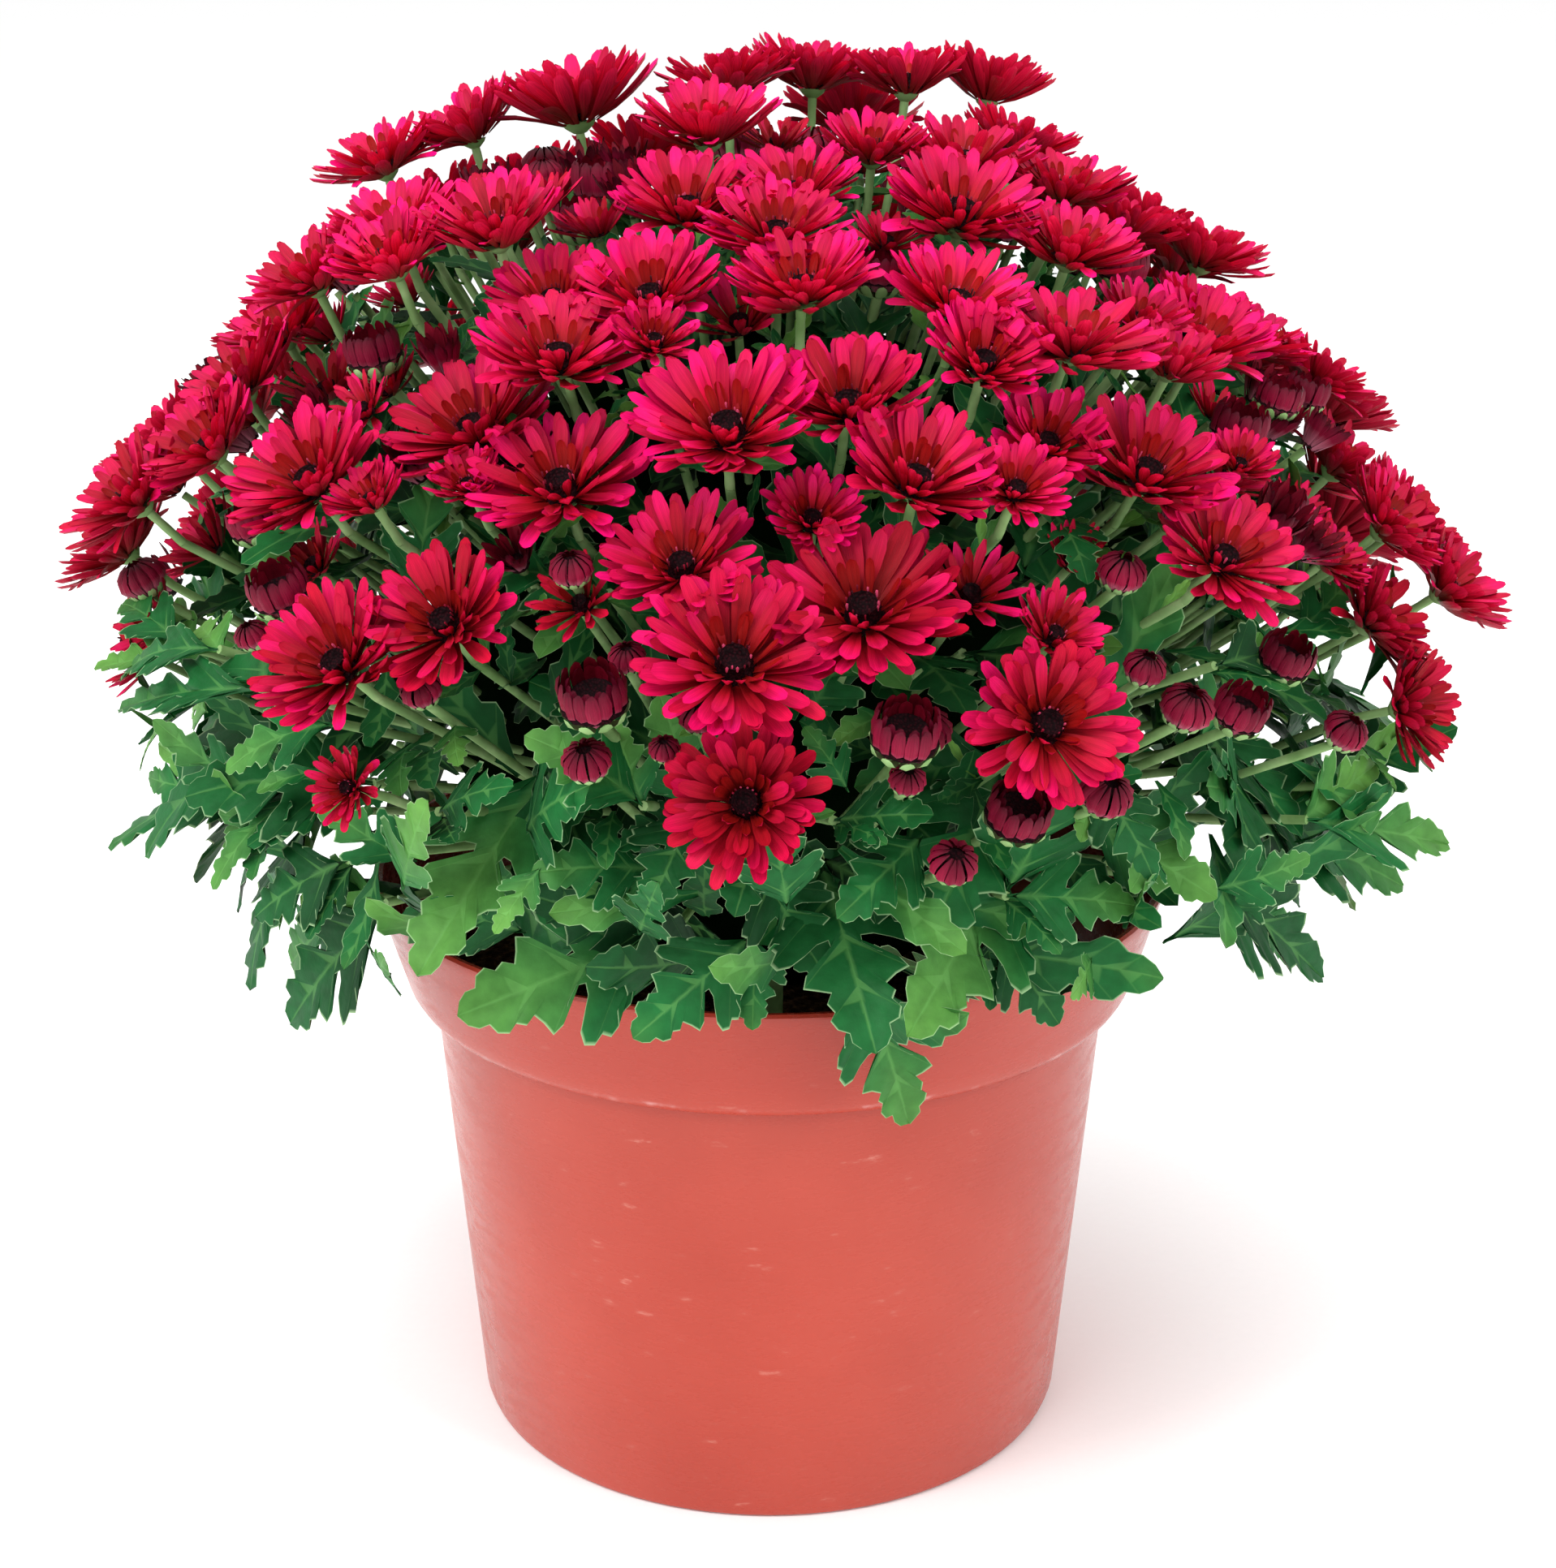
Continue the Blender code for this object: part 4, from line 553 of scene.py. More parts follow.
def leaf_material(name, low, mid, high, rib, margin, shine=0.14):
    """A leaf: satin green that differs from leaf to leaf, darker where its tone carries painted shade and lighter
    towards the tip as a painted highlight, pale veins and a thin pale margin.
    """
    made, tree, shader = new_material(name, Roughness=0.50, Specular_IOR_Level=shine)
    place = node(tree, "TexCoord").outputs["Object"]
    tone = node(tree, "Attribute", attribute_name="tone").outputs["Fac"]
    vein = node(tree, "Attribute", attribute_name="vein").outputs["Fac"]
    edge = node(tree, "Attribute", attribute_name="edge").outputs["Fac"]
    # Painted highlight: each leaf is painted a little lighter and yellower towards its tip
    uv = node(tree, "UVMap", uv_map="along").outputs["UV"]
    tip_painted_highlight = node(tree, "MapRange", {0: node(tree, "SeparateXYZ", {"Vector": uv}).outputs["X"]},
                 {1: 0.25, 2: 1.0, 3: -0.10, 4: 0.16})
    tone_with_painted_light = node(tree, "Math", {0: tone, 1: tip_painted_highlight.outputs[0]}, operation="ADD")
    leafy = node(tree, "ValToRGB", {"Fac": tone_with_painted_light.outputs[0]}, stops=((0.0, low), (0.55, mid), (1.05, high)))
    # Mottling 4 mm across, and grain of half a millimetre
    mottle = node(tree, "TexNoise", {"Vector": place}, {"Scale": 250.0, "Detail": 4.0})
    shade = node(tree, "ValToRGB", {"Fac": mottle.outputs["Fac"]}, stops=((0.3, "#9CA89C"), (0.7, "#FFFFFF")))
    mottled = node(tree, "Mix", {6: leafy.outputs["Color"], 7: shade.outputs["Color"]}, {0: 0.5},
                   data_type="RGBA", blend_type="MULTIPLY")
    line = node(tree, "MapRange", {0: vein}, {1: 0.78, 2: 1.0, 3: 0.0, 4: 0.30})
    veined = node(tree, "Mix", {0: line.outputs[0], 6: mottled.outputs[2]}, {7: hexed(rib)}, data_type="RGBA")
    rim = node(tree, "MapRange", {0: edge}, {1: 0.955, 2: 1.0, 3: 0.0, 4: 0.6})
    rimmed = node(tree, "Mix", {0: rim.outputs[0], 6: veined.outputs[2]}, {7: hexed(margin)}, data_type="RGBA")
    tree.links.new(rimmed.outputs[2], shader.inputs["Base Color"])
    height = node(tree, "Math", {0: mottle.outputs["Fac"], 1: line.outputs[0]}, operation="SUBTRACT")
    bump = node(tree, "Bump", {"Height": height.outputs[0]}, {"Strength": 0.5, "Distance": 0.0006})
    tree.links.new(bump.outputs["Normal"], shader.inputs["Normal"])
    return made


# Leaves, mid green with a pale rib and edge; painted darker and bluer inside the plant, where a low tone stands for
# painted shade
LEAF = leaf_material("leaf_green", "#041C0A", "#1A6630", "#78B04C", "#6FAE5C", "#B8DCA4")


def stalk_material():
    """Stalks: pale grey green, ribbed lengthwise, a little darker in patches."""
    made, tree, shader = new_material("stalk_grey_green", Roughness=0.55, Specular_IOR_Level=0.15)
    place = node(tree, "TexCoord").outputs["Object"]
    tone = node(tree, "Attribute", attribute_name="tone").outputs["Fac"]
    patch = node(tree, "TexNoise", {"Vector": place}, {"Scale": 120.0, "Detail": 3.0})
    colour = node(tree, "ValToRGB", {"Fac": patch.outputs["Fac"]},
                  stops=((0.3, "#688C50"), (0.55, "#86A86C"), (0.8, "#AAC48C")))
    toned = node(tree, "HueSaturation", {"Color": colour.outputs["Color"], "Value": tone})
    tree.links.new(toned.outputs["Color"], shader.inputs["Base Color"])
    bump = node(tree, "Bump", {"Height": patch.outputs["Fac"]}, {"Strength": 0.3, "Distance": 0.0003})
    tree.links.new(bump.outputs["Normal"], shader.inputs["Normal"])
    return made


STALK = stalk_material()


def pot_material():
    """Moulded pot: satin terracotta-coloured plastic, faint flow marks, scuffs, and a painted shade under the collar.
    """
    made, tree, shader = new_material("pot_terracotta_plastic", Specular_IOR_Level=0.40)
    place = node(tree, "TexCoord").outputs["Object"]
    split = node(tree, "SeparateXYZ", {"Vector": place})
    # Cloudy change of tone about 60 mm across
    cloud = node(tree, "TexNoise", {"Vector": place}, {"Scale": 16.0, "Detail": 3.0})
    colour = node(tree, "ValToRGB", {"Fac": cloud.outputs["Fac"]}, stops=((0.35, "#A63828"), (0.65, "#B04030")))
    # Scuffs: thin marks a few millimetres long
    drawn = node(tree, "Mapping", {"Vector": place}, {"Scale": (90.0, 90.0, 320.0), "Rotation": (0.4, 0.2, 0.0)})
    scuff = node(tree, "TexNoise", {"Vector": drawn.outputs["Vector"]}, {"Scale": 1.0, "Detail": 6.0, "Roughness": 0.7})
    worn = node(tree, "MapRange", {0: scuff.outputs["Fac"]}, {1: 0.63, 2: 0.74, 3: 0.0, 4: 0.45})
    scuffed = node(tree, "Mix", {0: worn.outputs[0], 6: colour.outputs["Color"]}, {7: hexed("#D89888")}, data_type="RGBA")
    # The collar is deeper in colour than the wall
    collar = node(tree, "MapRange", {0: split.outputs["Z"]}, {1: 0.110, 2: 0.120, 3: 0.0, 4: 0.6})
    deeper = node(tree, "Mix", {0: collar.outputs[0], 6: scuffed.outputs[2]}, {7: hexed("#A63426")}, data_type="RGBA")
    # Painted shade darkens the corner under the collar, where the collar's shadow falls, and the collar's lower edge is
    # rubbed pale
    corner = node(tree, "ValToRGB", {"Fac": node(tree, "MapRange", {0: split.outputs["Z"]}, {1: 0.098, 2: 0.120}).outputs[0]},
                  stops=((0.0, "#000000"), (0.36, "#505050"), (0.53, "#A0A0A0"), (0.56, "#000000")))
    painted_shade_under_collar = node(tree, "Mix", {0: corner.outputs["Color"], 6: deeper.outputs[2]}, {7: hexed("#7A2418")}, data_type="RGBA")
    band = node(tree, "ValToRGB", {"Fac": node(tree, "MapRange", {0: split.outputs["Z"]}, {1: 0.098, 2: 0.120}).outputs[0]},
                stops=((0.60, "#000000"), (0.66, "#FFFFFF"), (0.70, "#000000")))
    spots = node(tree, "TexNoise", {"Vector": place}, {"Scale": 140.0, "Detail": 5.0})
    broken = node(tree, "MapRange", {0: spots.outputs["Fac"]}, {1: 0.55, 2: 0.70, 3: 0.0, 4: 0.6})
    rub = node(tree, "Math", {0: band.outputs["Color"], 1: broken.outputs[0]}, operation="MULTIPLY")
    rubbed = node(tree, "Mix", {0: rub.outputs[0], 6: painted_shade_under_collar.outputs[2]}, {7: hexed("#E0B0AC")}, data_type="RGBA")
    tree.links.new(rubbed.outputs[2], shader.inputs["Base Color"])
    rough = node(tree, "MapRange", {0: scuff.outputs["Fac"]}, {1: 0.45, 2: 0.80, 3: 0.24, 4: 0.45})
    tree.links.new(rough.outputs[0], shader.inputs["Roughness"])
    fine = node(tree, "TexNoise", {"Vector": place}, {"Scale": 900.0, "Detail": 2.0})
    bump = node(tree, "Bump", {"Height": fine.outputs["Fac"]}, {"Strength": 0.06, "Distance": 0.0003})
    tree.links.new(bump.outputs["Normal"], shader.inputs["Normal"])
    return made


def soil_material():
    """Potting soil: dark brown peat with paler fibres and crumbs of one to four millimetres."""
    made, tree, shader = new_material("soil_dark_peat", Roughness=0.95, Specular_IOR_Level=0.05)
    place = node(tree, "TexCoord").outputs["Object"]
    crumbs = node(tree, "TexVoronoi", {"Vector": place}, {"Scale": 380.0})
    fibre = node(tree, "TexNoise", {"Vector": place}, {"Scale": 900.0, "Detail": 6.0})
    mixed = node(tree, "Math", {0: crumbs.outputs["Distance"], 1: fibre.outputs["Fac"]}, operation="MULTIPLY")
    colour = node(tree, "ValToRGB", {"Fac": mixed.outputs[0]},
                  stops=((0.05, "#1A120C"), (0.25, "#3A281A"), (0.5, "#6A5038")))
    tree.links.new(colour.outputs["Color"], shader.inputs["Base Color"])
    bump = node(tree, "Bump", {"Height": mixed.outputs[0]}, {"Strength": 0.8, "Distance": 0.002})
    tree.links.new(bump.outputs["Normal"], shader.inputs["Normal"])
    return made


EYE_DARK = eye_material()
FLORET_PINK = floret_material()
# Packed young leaves inside the plant, coloured a near-black green as painted shade
HEART_PAINTED_SHADE = leaf_material("heart_painted_shade", "#061206", "#08180A", "#0A1E0C", "#08180A", "#0A1C0C", 0.0)


# The pieces' models ---------------------------------------------------------------------------
PETAL, EYE_PAINT, FLORET_PAINT, GREEN = range(4)    # places of the materials in a flower piece
PATHS = {"flat": ((0.17, -0.30), (0.60, -0.20), (1.02, 0.06), 0.096, 0.028),
         "drooping": ((0.17, -0.30), (0.70, -0.08), (1.02, -0.16), 0.096, 0.028),
         "second": ((0.17, -0.26), (0.56, -0.08), (0.98, 0.17), 0.094, 0.032),
         "third": ((0.17, -0.22), (0.46, -0.02), (0.86, 0.26), 0.088, 0.034),
         "fourth": ((0.17, -0.18), (0.36, 0.02), (0.64, 0.32), 0.080, 0.034),
         "upright": ((0.19, -0.20), (0.29, -0.02), (0.40, 0.18), 0.060, 0.026)}
PETALS = {name: model_petal("petal_" + name, *path) for name, path in PATHS.items()}
YOUNG = {name: model_petal("young_" + name, *PATHS[name], PLAIN_STATIONS)
         for name in ("second", "third", "fourth", "upright")}
WRAP = model_petal("petal_wrapped", (0.14, -0.50), (0.96, 0.02), (0.20, 0.42), 0.125, 0.050, WRAP_STATIONS)
BARREL = model_petal("petal_barrel", (0.16, -0.58), (0.60, -0.42), (0.42, 0.18), 0.112, 0.040)
BARREL_IN = model_petal("petal_barrel_inner", (0.14, -0.50), (0.46, -0.36), (0.30, 0.12), 0.105, 0.036)
SEPAL = model_petal("sepal", (0.02, -0.30), (0.46, -0.28), (0.50, 0.02), 0.110, 0.020, paint=GREEN)
EYE = shape_of(model_turned("eye", ((0, -0.30), (0.25, -0.24), (0.18, -0.15), (0.165, -0.01), (0.11, -0.10),
                                    (0, -0.14)), 12), EYE_PAINT)
FLORET = shape_of(model_turned("floret", ((0, -0.10), (0.012, -0.08), (0.017, 0.0), (0, 0.02)), 4), FLORET_PAINT)
STALK_TUBE = shape_of(model_turned("stalk_tube", ((0, 0), (1, 0), (1.05, 0.12), (0.96, 0.3), (1.02, 0.5),
                                                  (0.95, 0.7), (1.05, 0.88), (1.0, 1.0), (0, 1.0)), 7))
CALYX = shape_of(model_turned("calyx", ((0, -0.46), (0.08, -0.44), (0.17, -0.37), (0.21, -0.31), (0, -0.29)), 12))
LEAVES = [model_leaf("leaf", LEAF_OUTLINE, LEAF_VEINS, *form)
          for form in ((0.04, 0.10, 0.008), (0.08, -0.10, 0.012), (0.02, 0.22, 0.010), (0.11, 0.02, 0.008))]
SMALL_LEAVES = [model_leaf("small_leaf", SMALL_OUTLINE, SMALL_VEINS, *form)
                for form in ((0.05, 0.15, 0.010), (-0.05, 0.10, 0.010), (0.10, 0.25, 0.008))]
ROWS = ((("flat", "flat", "drooping"), 19, 0.0), (("second", "second", "flat"), 18, 0.10),
        (("third", "second"), 16, 0.30), (("fourth", "third"), 13, 0.65), (("upright",), 13, 1.0))
YOUNG_ROWS = ((("second",), 13, 0.0), (("third",), 12, 0.3), (("fourth",), 10, 0.6), (("upright",), 9, 1.0))


def flower(draw, place, look, radius, freshness, tone, rows=ROWS, petals=PETALS, florets=14):
    """Copies that make one open flower; a fresh one is more cupped."""
    look = (look + Vector((draw.gauss(0, 0.09), draw.gauss(0, 0.09), draw.gauss(0, 0.09)))).normalized()
    base = frame_at(place, look, draw.uniform(0, 6.28), radius)
    own = tone * draw.uniform(0.92, 1.08)
    # The oldest flowers, low on the sides, are the most ragged
    ragged = 1.0 - min(1.0, max(0.0, (place.z - 0.175) / 0.05))
    made = []
    for names, count, row in rows:
        count -= 3 if radius < 0.0125 else 0
        start = draw.uniform(0, 6.28)
        for k in range(count):
            lift = draw.gauss(0.0, 0.07 + 0.13 * ragged) + 0.30 * freshness * (1.0 - 0.5 * row)
            spin = start + (k + draw.uniform(-0.25, 0.25)) * 2.0 * math.pi / count
            turn = (Matrix.Rotation(spin, 4, "Z") @ Matrix.Translation((0.17, 0, -0.24))
                    @ Matrix.Rotation(-lift, 4, "Y") @ Matrix.Rotation(draw.gauss(0.0, 0.16), 4, "X")
                    @ Matrix.Rotation(draw.gauss(0.0, 0.05), 4, "Z") @ Matrix.Translation((-0.17, 0, 0.24)))
            scale = draw.uniform(0.94 - 0.16 * ragged, 1.13)
            size = Matrix.Diagonal((scale, scale * draw.uniform(0.85, 1.20), scale, 1.0))
            made.append((petals[draw.choice(names)], base @ turn @ size, own * draw.uniform(0.84, 1.10), row))
    made.append((EYE, base, 1.0, 0.0))
    for k in range(florets):
        angle = k * 2.0 * math.pi / florets + draw.uniform(-0.2, 0.2)
        spot = Matrix.Translation((0.17 * math.cos(angle), 0.17 * math.sin(angle), draw.uniform(-0.02, 0.08)))
        made.append((FLORET, base @ spot @ Matrix.Scale(draw.uniform(0.6, 1.1), 4), 1.0,
                     draw.choice((0.0, 0.2, 0.4, 0.8))))
    return made


def stalk_between(draw, low, high, radius, tone):
    """A stalk from a point up to another."""
    way = high - low
    turn = way.to_track_quat("Z", "Y").to_matrix().to_4x4()
    size = Matrix.Diagonal((radius, radius, way.length, 1.0))
    return (STALK_TUBE, Matrix.Translation(low) @ turn @ size, tone, 0.0)


def upward(place):
    """Where a closed flower at this point looks: halfway between out of the dome and up."""
    return (facing(place) + Vector((0.0, 0.0, 0.9))).normalized()


def stalk_foot(place):
    """Where the stalk to a place leaves the heart of the plant; low stalks rise on their way out."""
    foot = toward_core(place, 0.56)
    foot.z -= 0.014 * min(1.0, max(0.0, (0.260 - place.z) / 0.04)) * min(1.0, max(0.0, (foot.z - 0.120) / 0.014))
    return foot


def leaf_between(draw, shapes, foot, tip, width, up, tone):
    """A leaf from its foot to its tip, its top side towards a direction."""
    way = tip - foot
    ahead = way.normalized()
    across = up.cross(ahead).normalized()
    over = ahead.cross(across)
    length = way.length
    turn = Matrix((ahead * length, across * width / LEAF_WIDTH, over * length)).transposed().to_4x4()
    return (draw.choice(shapes), Matrix.Translation(foot) @ turn, tone, 0.0)


stalks = {k: [] for k in range(1, CUTTINGS + 1)}
leaves = {k: [] for k in range(1, CUTTINGS + 1)}
closed = {k: [] for k in range(1, CUTTINGS + 1)}
draw = random.Random(SEED)

# Open flowers: one piece for each cluster
clusters = {}
for number, x, y, z, radius in OPEN_FLOWERS:
    place, radius = Vector((x, y, z)) * MM, radius * MM
    look = facing(place)
    freshness = draw.random() ** 2 if radius > 0.0125 else draw.uniform(0.4, 1.0)
    # Painted light and shade: the flowers at the top of the plant, in the light, are painted pinker, those low on its
    # sides, in shade, a deeper red
    tone = 0.80 + 0.32 * min(1.0, max(0.0, (place.z - 0.18) / 0.11))
    clusters.setdefault(number, []).extend(flower(draw, place, look, radius, freshness, tone))
    home = cutting_of(place)
    seat = place - look * 0.44 * radius
    stalks[home].append((CALYX, frame_at(place, look, draw.uniform(0, 6), radius), 1.0, 0.0))
    foot = stalk_foot(place)
    joint = seat - look * 0.010
    stalks[home].append(stalk_between(draw, joint, seat, 0.0010, draw.uniform(0.9, 1.15)))
    stalks[home].append(stalk_between(draw, foot, joint, 0.0010, draw.uniform(0.85, 1.1)))
    for _ in range(draw.choice((2, 3, 3))):
        along = joint.lerp(foot, draw.uniform(0.05, 0.60))
        side = Vector((draw.gauss(0, 1), draw.gauss(0, 1), draw.gauss(0, 1)))
        out = (look * 0.5 + side.cross(look).normalized()).normalized()
        end = along + out * draw.uniform(0.010, 0.020)
        if dome_share(end) < 0.91:
            leaves[home].append(leaf_between(draw, SMALL_LEAVES, along, end, draw.uniform(0.004, 0.008), look,
                                             draw.uniform(0.3, 1.0)))
for number, copies in clusters.items():
    lay_out("blooms_%02d_petals" % number, copies, (OPEN_PETAL, EYE_DARK, FLORET_PINK),
            ["blooms_%02d" % number])

# Flowers of the second layer, deeper red and more closed, that show in the gaps between the others
opened = {k: [] for k in range(1, CUTTINGS + 1)}
young = []
for k in range(420):
    polar, azimuth = math.acos(1.0 - (k + 0.5) / 420 * 1.10), k * 2.399963
    share = draw.uniform(0.86, 0.96)
    place = on_dome(azimuth, polar, share)
    radius = draw.uniform(0.0085, 0.0120)
    look = facing(place)
    near = [(Vector(row[1:4]) * MM - place, row[4] * MM) for row in OPEN_FLOWERS]
    free = all(way.cross(look).length > (0.50 if share < 0.91 else 0.75) * wide + 0.4 * radius
               for way, wide in near if way.length < 0.035)
    low = place.z < (0.232 if place.y < -0.05 else 0.195)
    if free and not low and all((place - other).length > 0.016 for other in young):
        young.append(place)
        home = cutting_of(place)
        closing = draw.random() < 0.35
        made = flower(draw, place, look, radius, draw.uniform(1.8, 2.6) if closing else draw.uniform(0.0, 1.0),
                      0.90, YOUNG_ROWS, YOUNG, 0)
        (closed if closing else opened)[home].extend(made)
        stalks[home].append(stalk_between(draw, stalk_foot(place), place - look * 0.4 * radius,
                                          0.0009, draw.uniform(0.8, 1.0)))

# Half-open flowers: a barrel of upright petals round a dark hole
for x, y, z, radius in CUPS:
    place, width = Vector((x, y, z)) * MM, 2.0 * radius * MM
    look, middle = upward(place), place - facing(place) * 0.22 * width
    place = middle + look * 0.22 * width
    base = frame_at(place, look, draw.uniform(0, 6.28), width)
    home = cutting_of(place)
    for shape, count, size in ((BARREL, 14, 1.0), (BARREL_IN, 11, 1.0)):
        for k in range(count):
            spin = (k + draw.uniform(-0.12, 0.12)) * 2.0 * math.pi / count
            closed[home].append((shape, base @ Matrix.Rotation(spin, 4, "Z")
                                 @ Matrix.Scale(size * draw.uniform(0.94, 1.02), 4), draw.uniform(0.8, 1.2), 0.5))
    for k in range(10):
        closed[home].append((SEPAL, base @ Matrix.Translation((0, 0, -0.36)) @ Matrix.Rotation(k * 0.6283, 4, "Z"),
                             draw.uniform(0.9, 1.1), 0.0))
    closed[home].append((EYE, base @ Matrix.Translation((0, 0, -0.14)) @ Matrix.Diagonal((2.0, 2.0, 0.8, 1.0)), 1.0, 0.0))
    seat = place - look * 0.66 * width
    stalks[home].append(stalk_between(draw, stalk_foot(place), seat, 0.0011, draw.uniform(0.85, 1.1)))

# Buds: a ball of wrapped petals in green bracts
for x, y, z, radius in BUDS:
    place, width = Vector((x, y, z)) * MM, 2.0 * radius * MM
    look = upward(place)
    base = frame_at(place, look, draw.uniform(0, 6.28), width)
    home = cutting_of(place)
    for count, size, low in ((13, 1.0, 0.0), (9, 0.86, 0.03)):
        for k in range(count):
            spin = (k + draw.uniform(-0.1, 0.1)) * 2.0 * math.pi / count + low * 9
            closed[home].append((WRAP, base @ Matrix.Translation((0, 0, low)) @ Matrix.Rotation(spin, 4, "Z")
                                 @ Matrix.Scale(size, 4), draw.uniform(0.8, 1.25), 0.3))
    for k in range(11):
        closed[home].append((SEPAL, base @ Matrix.Translation((0, 0, -0.22)) @ Matrix.Rotation(k * 0.5712, 4, "Z"),
                             draw.uniform(0.9, 1.1), 0.0))
    closed[home].append((EYE, base @ Matrix.Translation((0, 0, 0.22)) @ Matrix.Diagonal((1.5, 1.5, 0.6, 1.0)), 1.0, 0.0))
    seat = place - look * 0.50 * width
    stalks[home].append(stalk_between(draw, stalk_foot(place), seat, 0.0010, draw.uniform(0.85, 1.1)))

# Large leaves, where their solids stand
for row in LARGE_LEAVES:
    foot, tip, width = Vector(row[:3]) * MM, Vector(row[3:6]) * MM, row[6] * MM
    home = cutting_of(foot)
    middle = foot.lerp(tip, 0.5)
    up = (facing(middle) + Vector((0, 0, 0.6))).normalized()
    width *= 0.78
    back = max(0.0, 1.3 * width - (tip - foot).length)
    foot = foot - (tip - foot).normalized() * back
    leaves[home].append(leaf_between(draw, LEAVES, foot, tip, width, up, draw.uniform(0.15, 0.65)))
    # A smaller one beside it, from the same joint
    aside = Matrix.Rotation(draw.choice((-1.0, 1.0)) * draw.uniform(0.5, 0.9), 3, up) @ (tip - foot) * draw.uniform(0.55, 0.75)
    if (foot + aside).z > 0.145:
        leaves[home].append(leaf_between(draw, LEAVES, foot - up * 0.002, foot + aside, aside.length * 0.70, up,
                                         draw.uniform(0.10, 0.80)))
    stalks[home].append(stalk_between(draw, toward_core(foot, 0.50), foot, 0.0010, draw.uniform(0.9, 1.1)))

# Foliage that fills the plant between the stalks, even all round: small leaves deep inside, larger
# ones outside them, and the outermost only where the flowers leave room, low on the sides
for count, near, far, lowest, shapes in ((330, 0.54, 0.70, -0.80, SMALL_LEAVES), (210, 0.68, 0.84, -0.80, LEAVES),
                                         (300, 0.80, 0.93, -0.80, LEAVES), (260, 0.76, 0.86, -0.80, SMALL_LEAVES)):
    for k in range(count):
        polar = math.acos(1.0 - (k + 0.5) / count * (1.0 - lowest))
        foot = on_dome(k * 2.399963, polar, draw.uniform(near, far))
        if foot.z < (0.148 if near > 0.75 else 0.130) or (near > 0.79 and foot.z > 0.205):
            continue
        out = facing(foot)
        side = Vector((draw.gauss(0, 1), draw.gauss(0, 1), draw.gauss(0, 0.6)))
        ahead = (out * draw.uniform(0.2, 0.9) + side.cross(out).normalized()).normalized()
        length = draw.uniform(0.022, 0.040)
        # Its tip stays below the flowers, except low on the sides
        reach = 0.90 if foot.z > 0.190 else 0.97
        while dome_share(foot + ahead * length) > reach and length > 0.016:
            length *= 0.85
        tip = foot + ahead * length
        if dome_share(tip) > reach + 0.01 or tip.z < (0.152 if foot.y < 0.0 else 0.146):
            continue
        # Painted shade: leaves deeper inside the plant get a lower tone, so they are painted darker
        depth = (dome_share(foot) - 0.54) / 0.39
        leaves[cutting_of(foot)].append(leaf_between(draw, shapes, foot, tip, length * draw.uniform(0.55, 0.75),
                                                     (out + Vector((0, 0, 0.4))).normalized(),
                                                     0.55 * depth + draw.uniform(-0.05, 0.30)))

for k in range(1, CUTTINGS + 1):
    home = ["cutting_%d" % k]
    lay_out("cutting_%d_stalks" % k, stalks[k], (STALK,), home)
    lay_out("cutting_%d_leaves" % k, leaves[k], (LEAF,), home)
    lay_out("cutting_%d_young" % k, opened[k], (OPEN_PETAL, EYE_DARK, FLORET_PINK), home)
    lay_out("cutting_%d_buds" % k, closed[k], (CLOSED_PETAL, EYE_DARK, FLORET_PINK, STALK), home)

# Heart of the plant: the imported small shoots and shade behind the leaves
heart = model_turned("heart", [(0.0, 0.108)] + [(DOME_RADIUS * 0.5 * math.sin(a), DOME_MIDDLE - DOME_HEIGHT * 0.62 * math.cos(a))
                     for a in (0.5, 0.9, 1.3, 1.7, 2.1, 2.5, 2.85)] + [(0.0, DOME_MIDDLE + DOME_HEIGHT * 0.60)], 40)
heart.data.materials.append(HEART_PAINTED_SHADE)
finish_piece(heart, ["cutting_%d" % k for k in range(1, CUTTINGS + 1)])

# Main stems from the soil up into the plant
stems = []
for k in range(CUTTINGS):
    azimuth = FIRST_EDGE + (k + 0.5) * 2.0 * math.pi / CUTTINGS
    ring = Vector((math.cos(azimuth), math.sin(azimuth), 0.0))
    stems.append(stalk_between(draw, ring * 0.040 + Vector((0, 0, 0.095)), ring * 0.046 + Vector((0, 0, 0.150)),
                               0.0031, 0.8))
lay_out("main_stems", stems, (STALK,), ["cutting_%d" % k for k in range(1, CUTTINGS + 1)])

# Pot ------------------------------------------------------------------------------------------
POT_PROFILE = ((0.0, 0.0), (0.027, 0.0), (0.029, 0.002), (0.0645, 0.002), (0.0665, 0.0), (0.0700, 0.0),
               (0.0718, 0.0007), (0.0725, 0.0025), (0.0814, 0.1082), (0.0815, 0.1092), (0.0822, 0.1099),
               (0.0850, 0.1104), (0.0868, 0.1114), (0.0880, 0.1134), (0.0888, 0.1162), (0.0906, 0.1220),
               (0.0928, 0.1296), (0.0944, 0.1352), (0.0950, 0.1369), (0.0950, 0.1378), (0.0945, 0.1385),
               (0.0936, 0.1385), (0.0928, 0.1379), (0.0922, 0.1350), (0.0884, 0.1220), (0.0862, 0.1150),
               (0.0797, 0.109), (0.0697, 0.0042), (0.0, 0.0042))
pot = model_turned("pot_shell", POT_PROFILE, 96)
for k in range(6):
    angle = 2.0 * math.pi * (k + 0.25) / 6
    deselect()
    bpy.ops.mesh.primitive_cylinder_add(vertices=24, radius=0.0045, depth=0.02,
                                        location=(0.047 * math.cos(angle), 0.047 * math.sin(angle), 0.0))
    drill = bpy.context.object
    deselect()
    pot.select_set(True)
    bpy.context.view_layer.objects.active = pot
    cut = pot.modifiers.new("drain_hole", "BOOLEAN")
    cut.operation, cut.object, cut.solver = "DIFFERENCE", drill, "EXACT"
    bpy.ops.object.modifier_apply(modifier=cut.name)
    bpy.data.objects.remove(drill)
pot.data.materials.append(pot_material())
finish_piece(pot, ["pot"], 35.0)

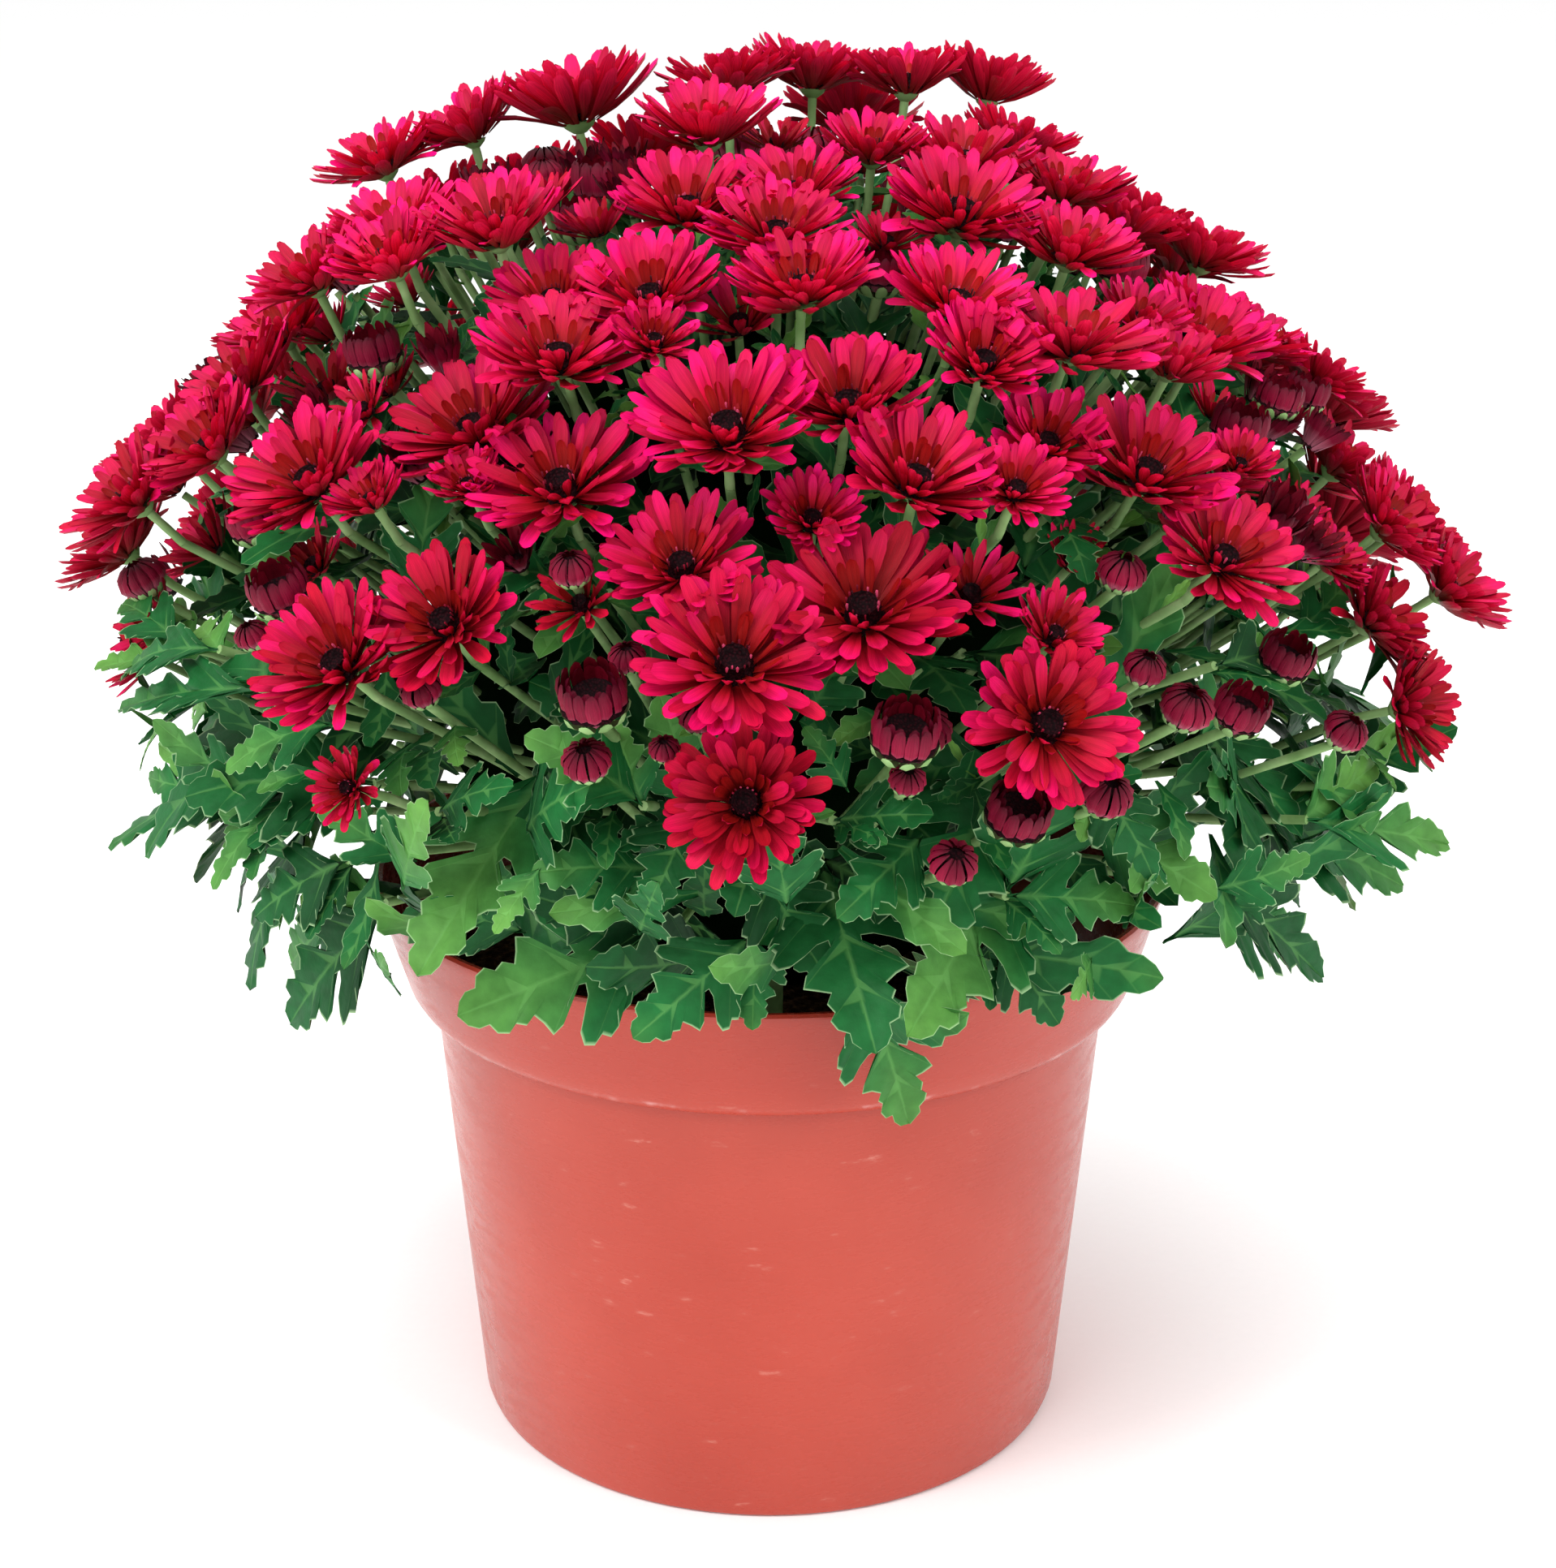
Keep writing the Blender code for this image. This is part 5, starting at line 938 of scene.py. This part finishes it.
# Soil -----------------------------------------------------------------------------------------
soil = model_turned("potting_soil", ((0.0, 0.0043), (0.0690, 0.0043), (0.0794, 0.1075), (0.075, 0.1092), (0.068, 0.111),
                    (0.058, 0.1128), (0.046, 0.1142), (0.034, 0.1152), (0.022, 0.1160), (0.010, 0.1166), (0.0, 0.117)), 90)
crumb = bpy.data.textures.new("soil_crumbs", "CLOUDS")
crumb.noise_scale = 0.006
start_edit(soil)
pick(soil, lambda index, co: co.z > 0.109)
bpy.ops.mesh.subdivide(number_cuts=1)
end_edit()
soil.vertex_groups.new(name="top").add([v.index for v in soil.data.vertices if v.co.z > 0.1080], 1.0, "REPLACE")
heap = soil.modifiers.new("crumbs", "DISPLACE")
heap.texture, heap.strength, heap.mid_level, heap.vertex_group = crumb, 0.004, 0.5, "top"
deselect()
soil.select_set(True)
bpy.context.view_layer.objects.active = soil
bpy.ops.object.modifier_apply(modifier=heap.name)
soil.data.materials.append(soil_material())
finish_piece(soil, ["soil"], 60.0)

# Floor, light and camera ----------------------------------------------------------------------
deselect()
bpy.ops.mesh.primitive_plane_add(size=24.0, location=(0, 0, 0))
floor = bpy.context.object
floor.name = "floor"
# White studio floor, matt
paper, tree, shader = new_material("floor_white_paper", Roughness=0.9)
place = node(tree, "TexCoord").outputs["Object"]
grain = node(tree, "TexNoise", {"Vector": place}, {"Scale": 400.0})
white = node(tree, "ValToRGB", {"Fac": grain.outputs["Fac"]}, stops=((0.0, "#FBFBFB"), (1.0, "#FFFFFF")))
tree.links.new(white.outputs["Color"], shader.inputs["Base Color"])
floor.data.materials.append(paper)


def add_light(name, place, aim, size, power, height=None):
    """A soft light aimed at a point, square unless it has a height of its own."""
    lamp = bpy.data.lights.new(name, "AREA")
    lamp.shape, lamp.size, lamp.size_y, lamp.energy = "RECTANGLE", size, height or size, power
    made = bpy.data.objects.new(name, lamp)
    bpy.context.scene.collection.objects.link(made)
    made.matrix_world = (Matrix.Translation(place)
                         @ (Vector(place) - Vector(aim)).to_track_quat("Z", "Y").to_matrix().to_4x4())


MIDDLE = (0.0, 0.0, 0.18)
add_light("key", (-0.6, -1.0, 1.5), MIDDLE, 0.7, 13.5)
add_light("top", (0.1, 0.1, 1.7), MIDDLE, 1.2, 10.0)
# Tall panels that give the pot its two soft upright highlights
add_light("left_panel", (-1.25, -0.75, 0.75), MIDDLE, 0.36, 7.5, 1.3)
add_light("right_panel", (1.10, -0.95, 0.75), MIDDLE, 0.30, 7.0, 1.3)
world = bpy.data.worlds.new("studio")
bpy.context.scene.world = world
world.use_nodes = True
world.node_tree.nodes["Background"].inputs["Color"].default_value = (1.0, 1.0, 1.0, 1.0)
world.node_tree.nodes["Background"].inputs["Strength"].default_value = 1.0
# Plain display colours: the pink of the petals is beyond what the default view keeps
bpy.context.scene.view_settings.view_transform = "Standard"

lens = bpy.data.cameras.new("camera")
lens.lens, lens.sensor_width, lens.shift_x = 66.04, 36.0, 0.0053
camera = bpy.data.objects.new("camera", lens)
bpy.context.scene.collection.objects.link(camera)
camera.matrix_world = (Matrix.Translation((0.0, -0.6496, 0.3858))
                       @ Matrix.Rotation(math.pi / 2 - 0.339, 4, "X"))
bpy.context.scene.camera = camera
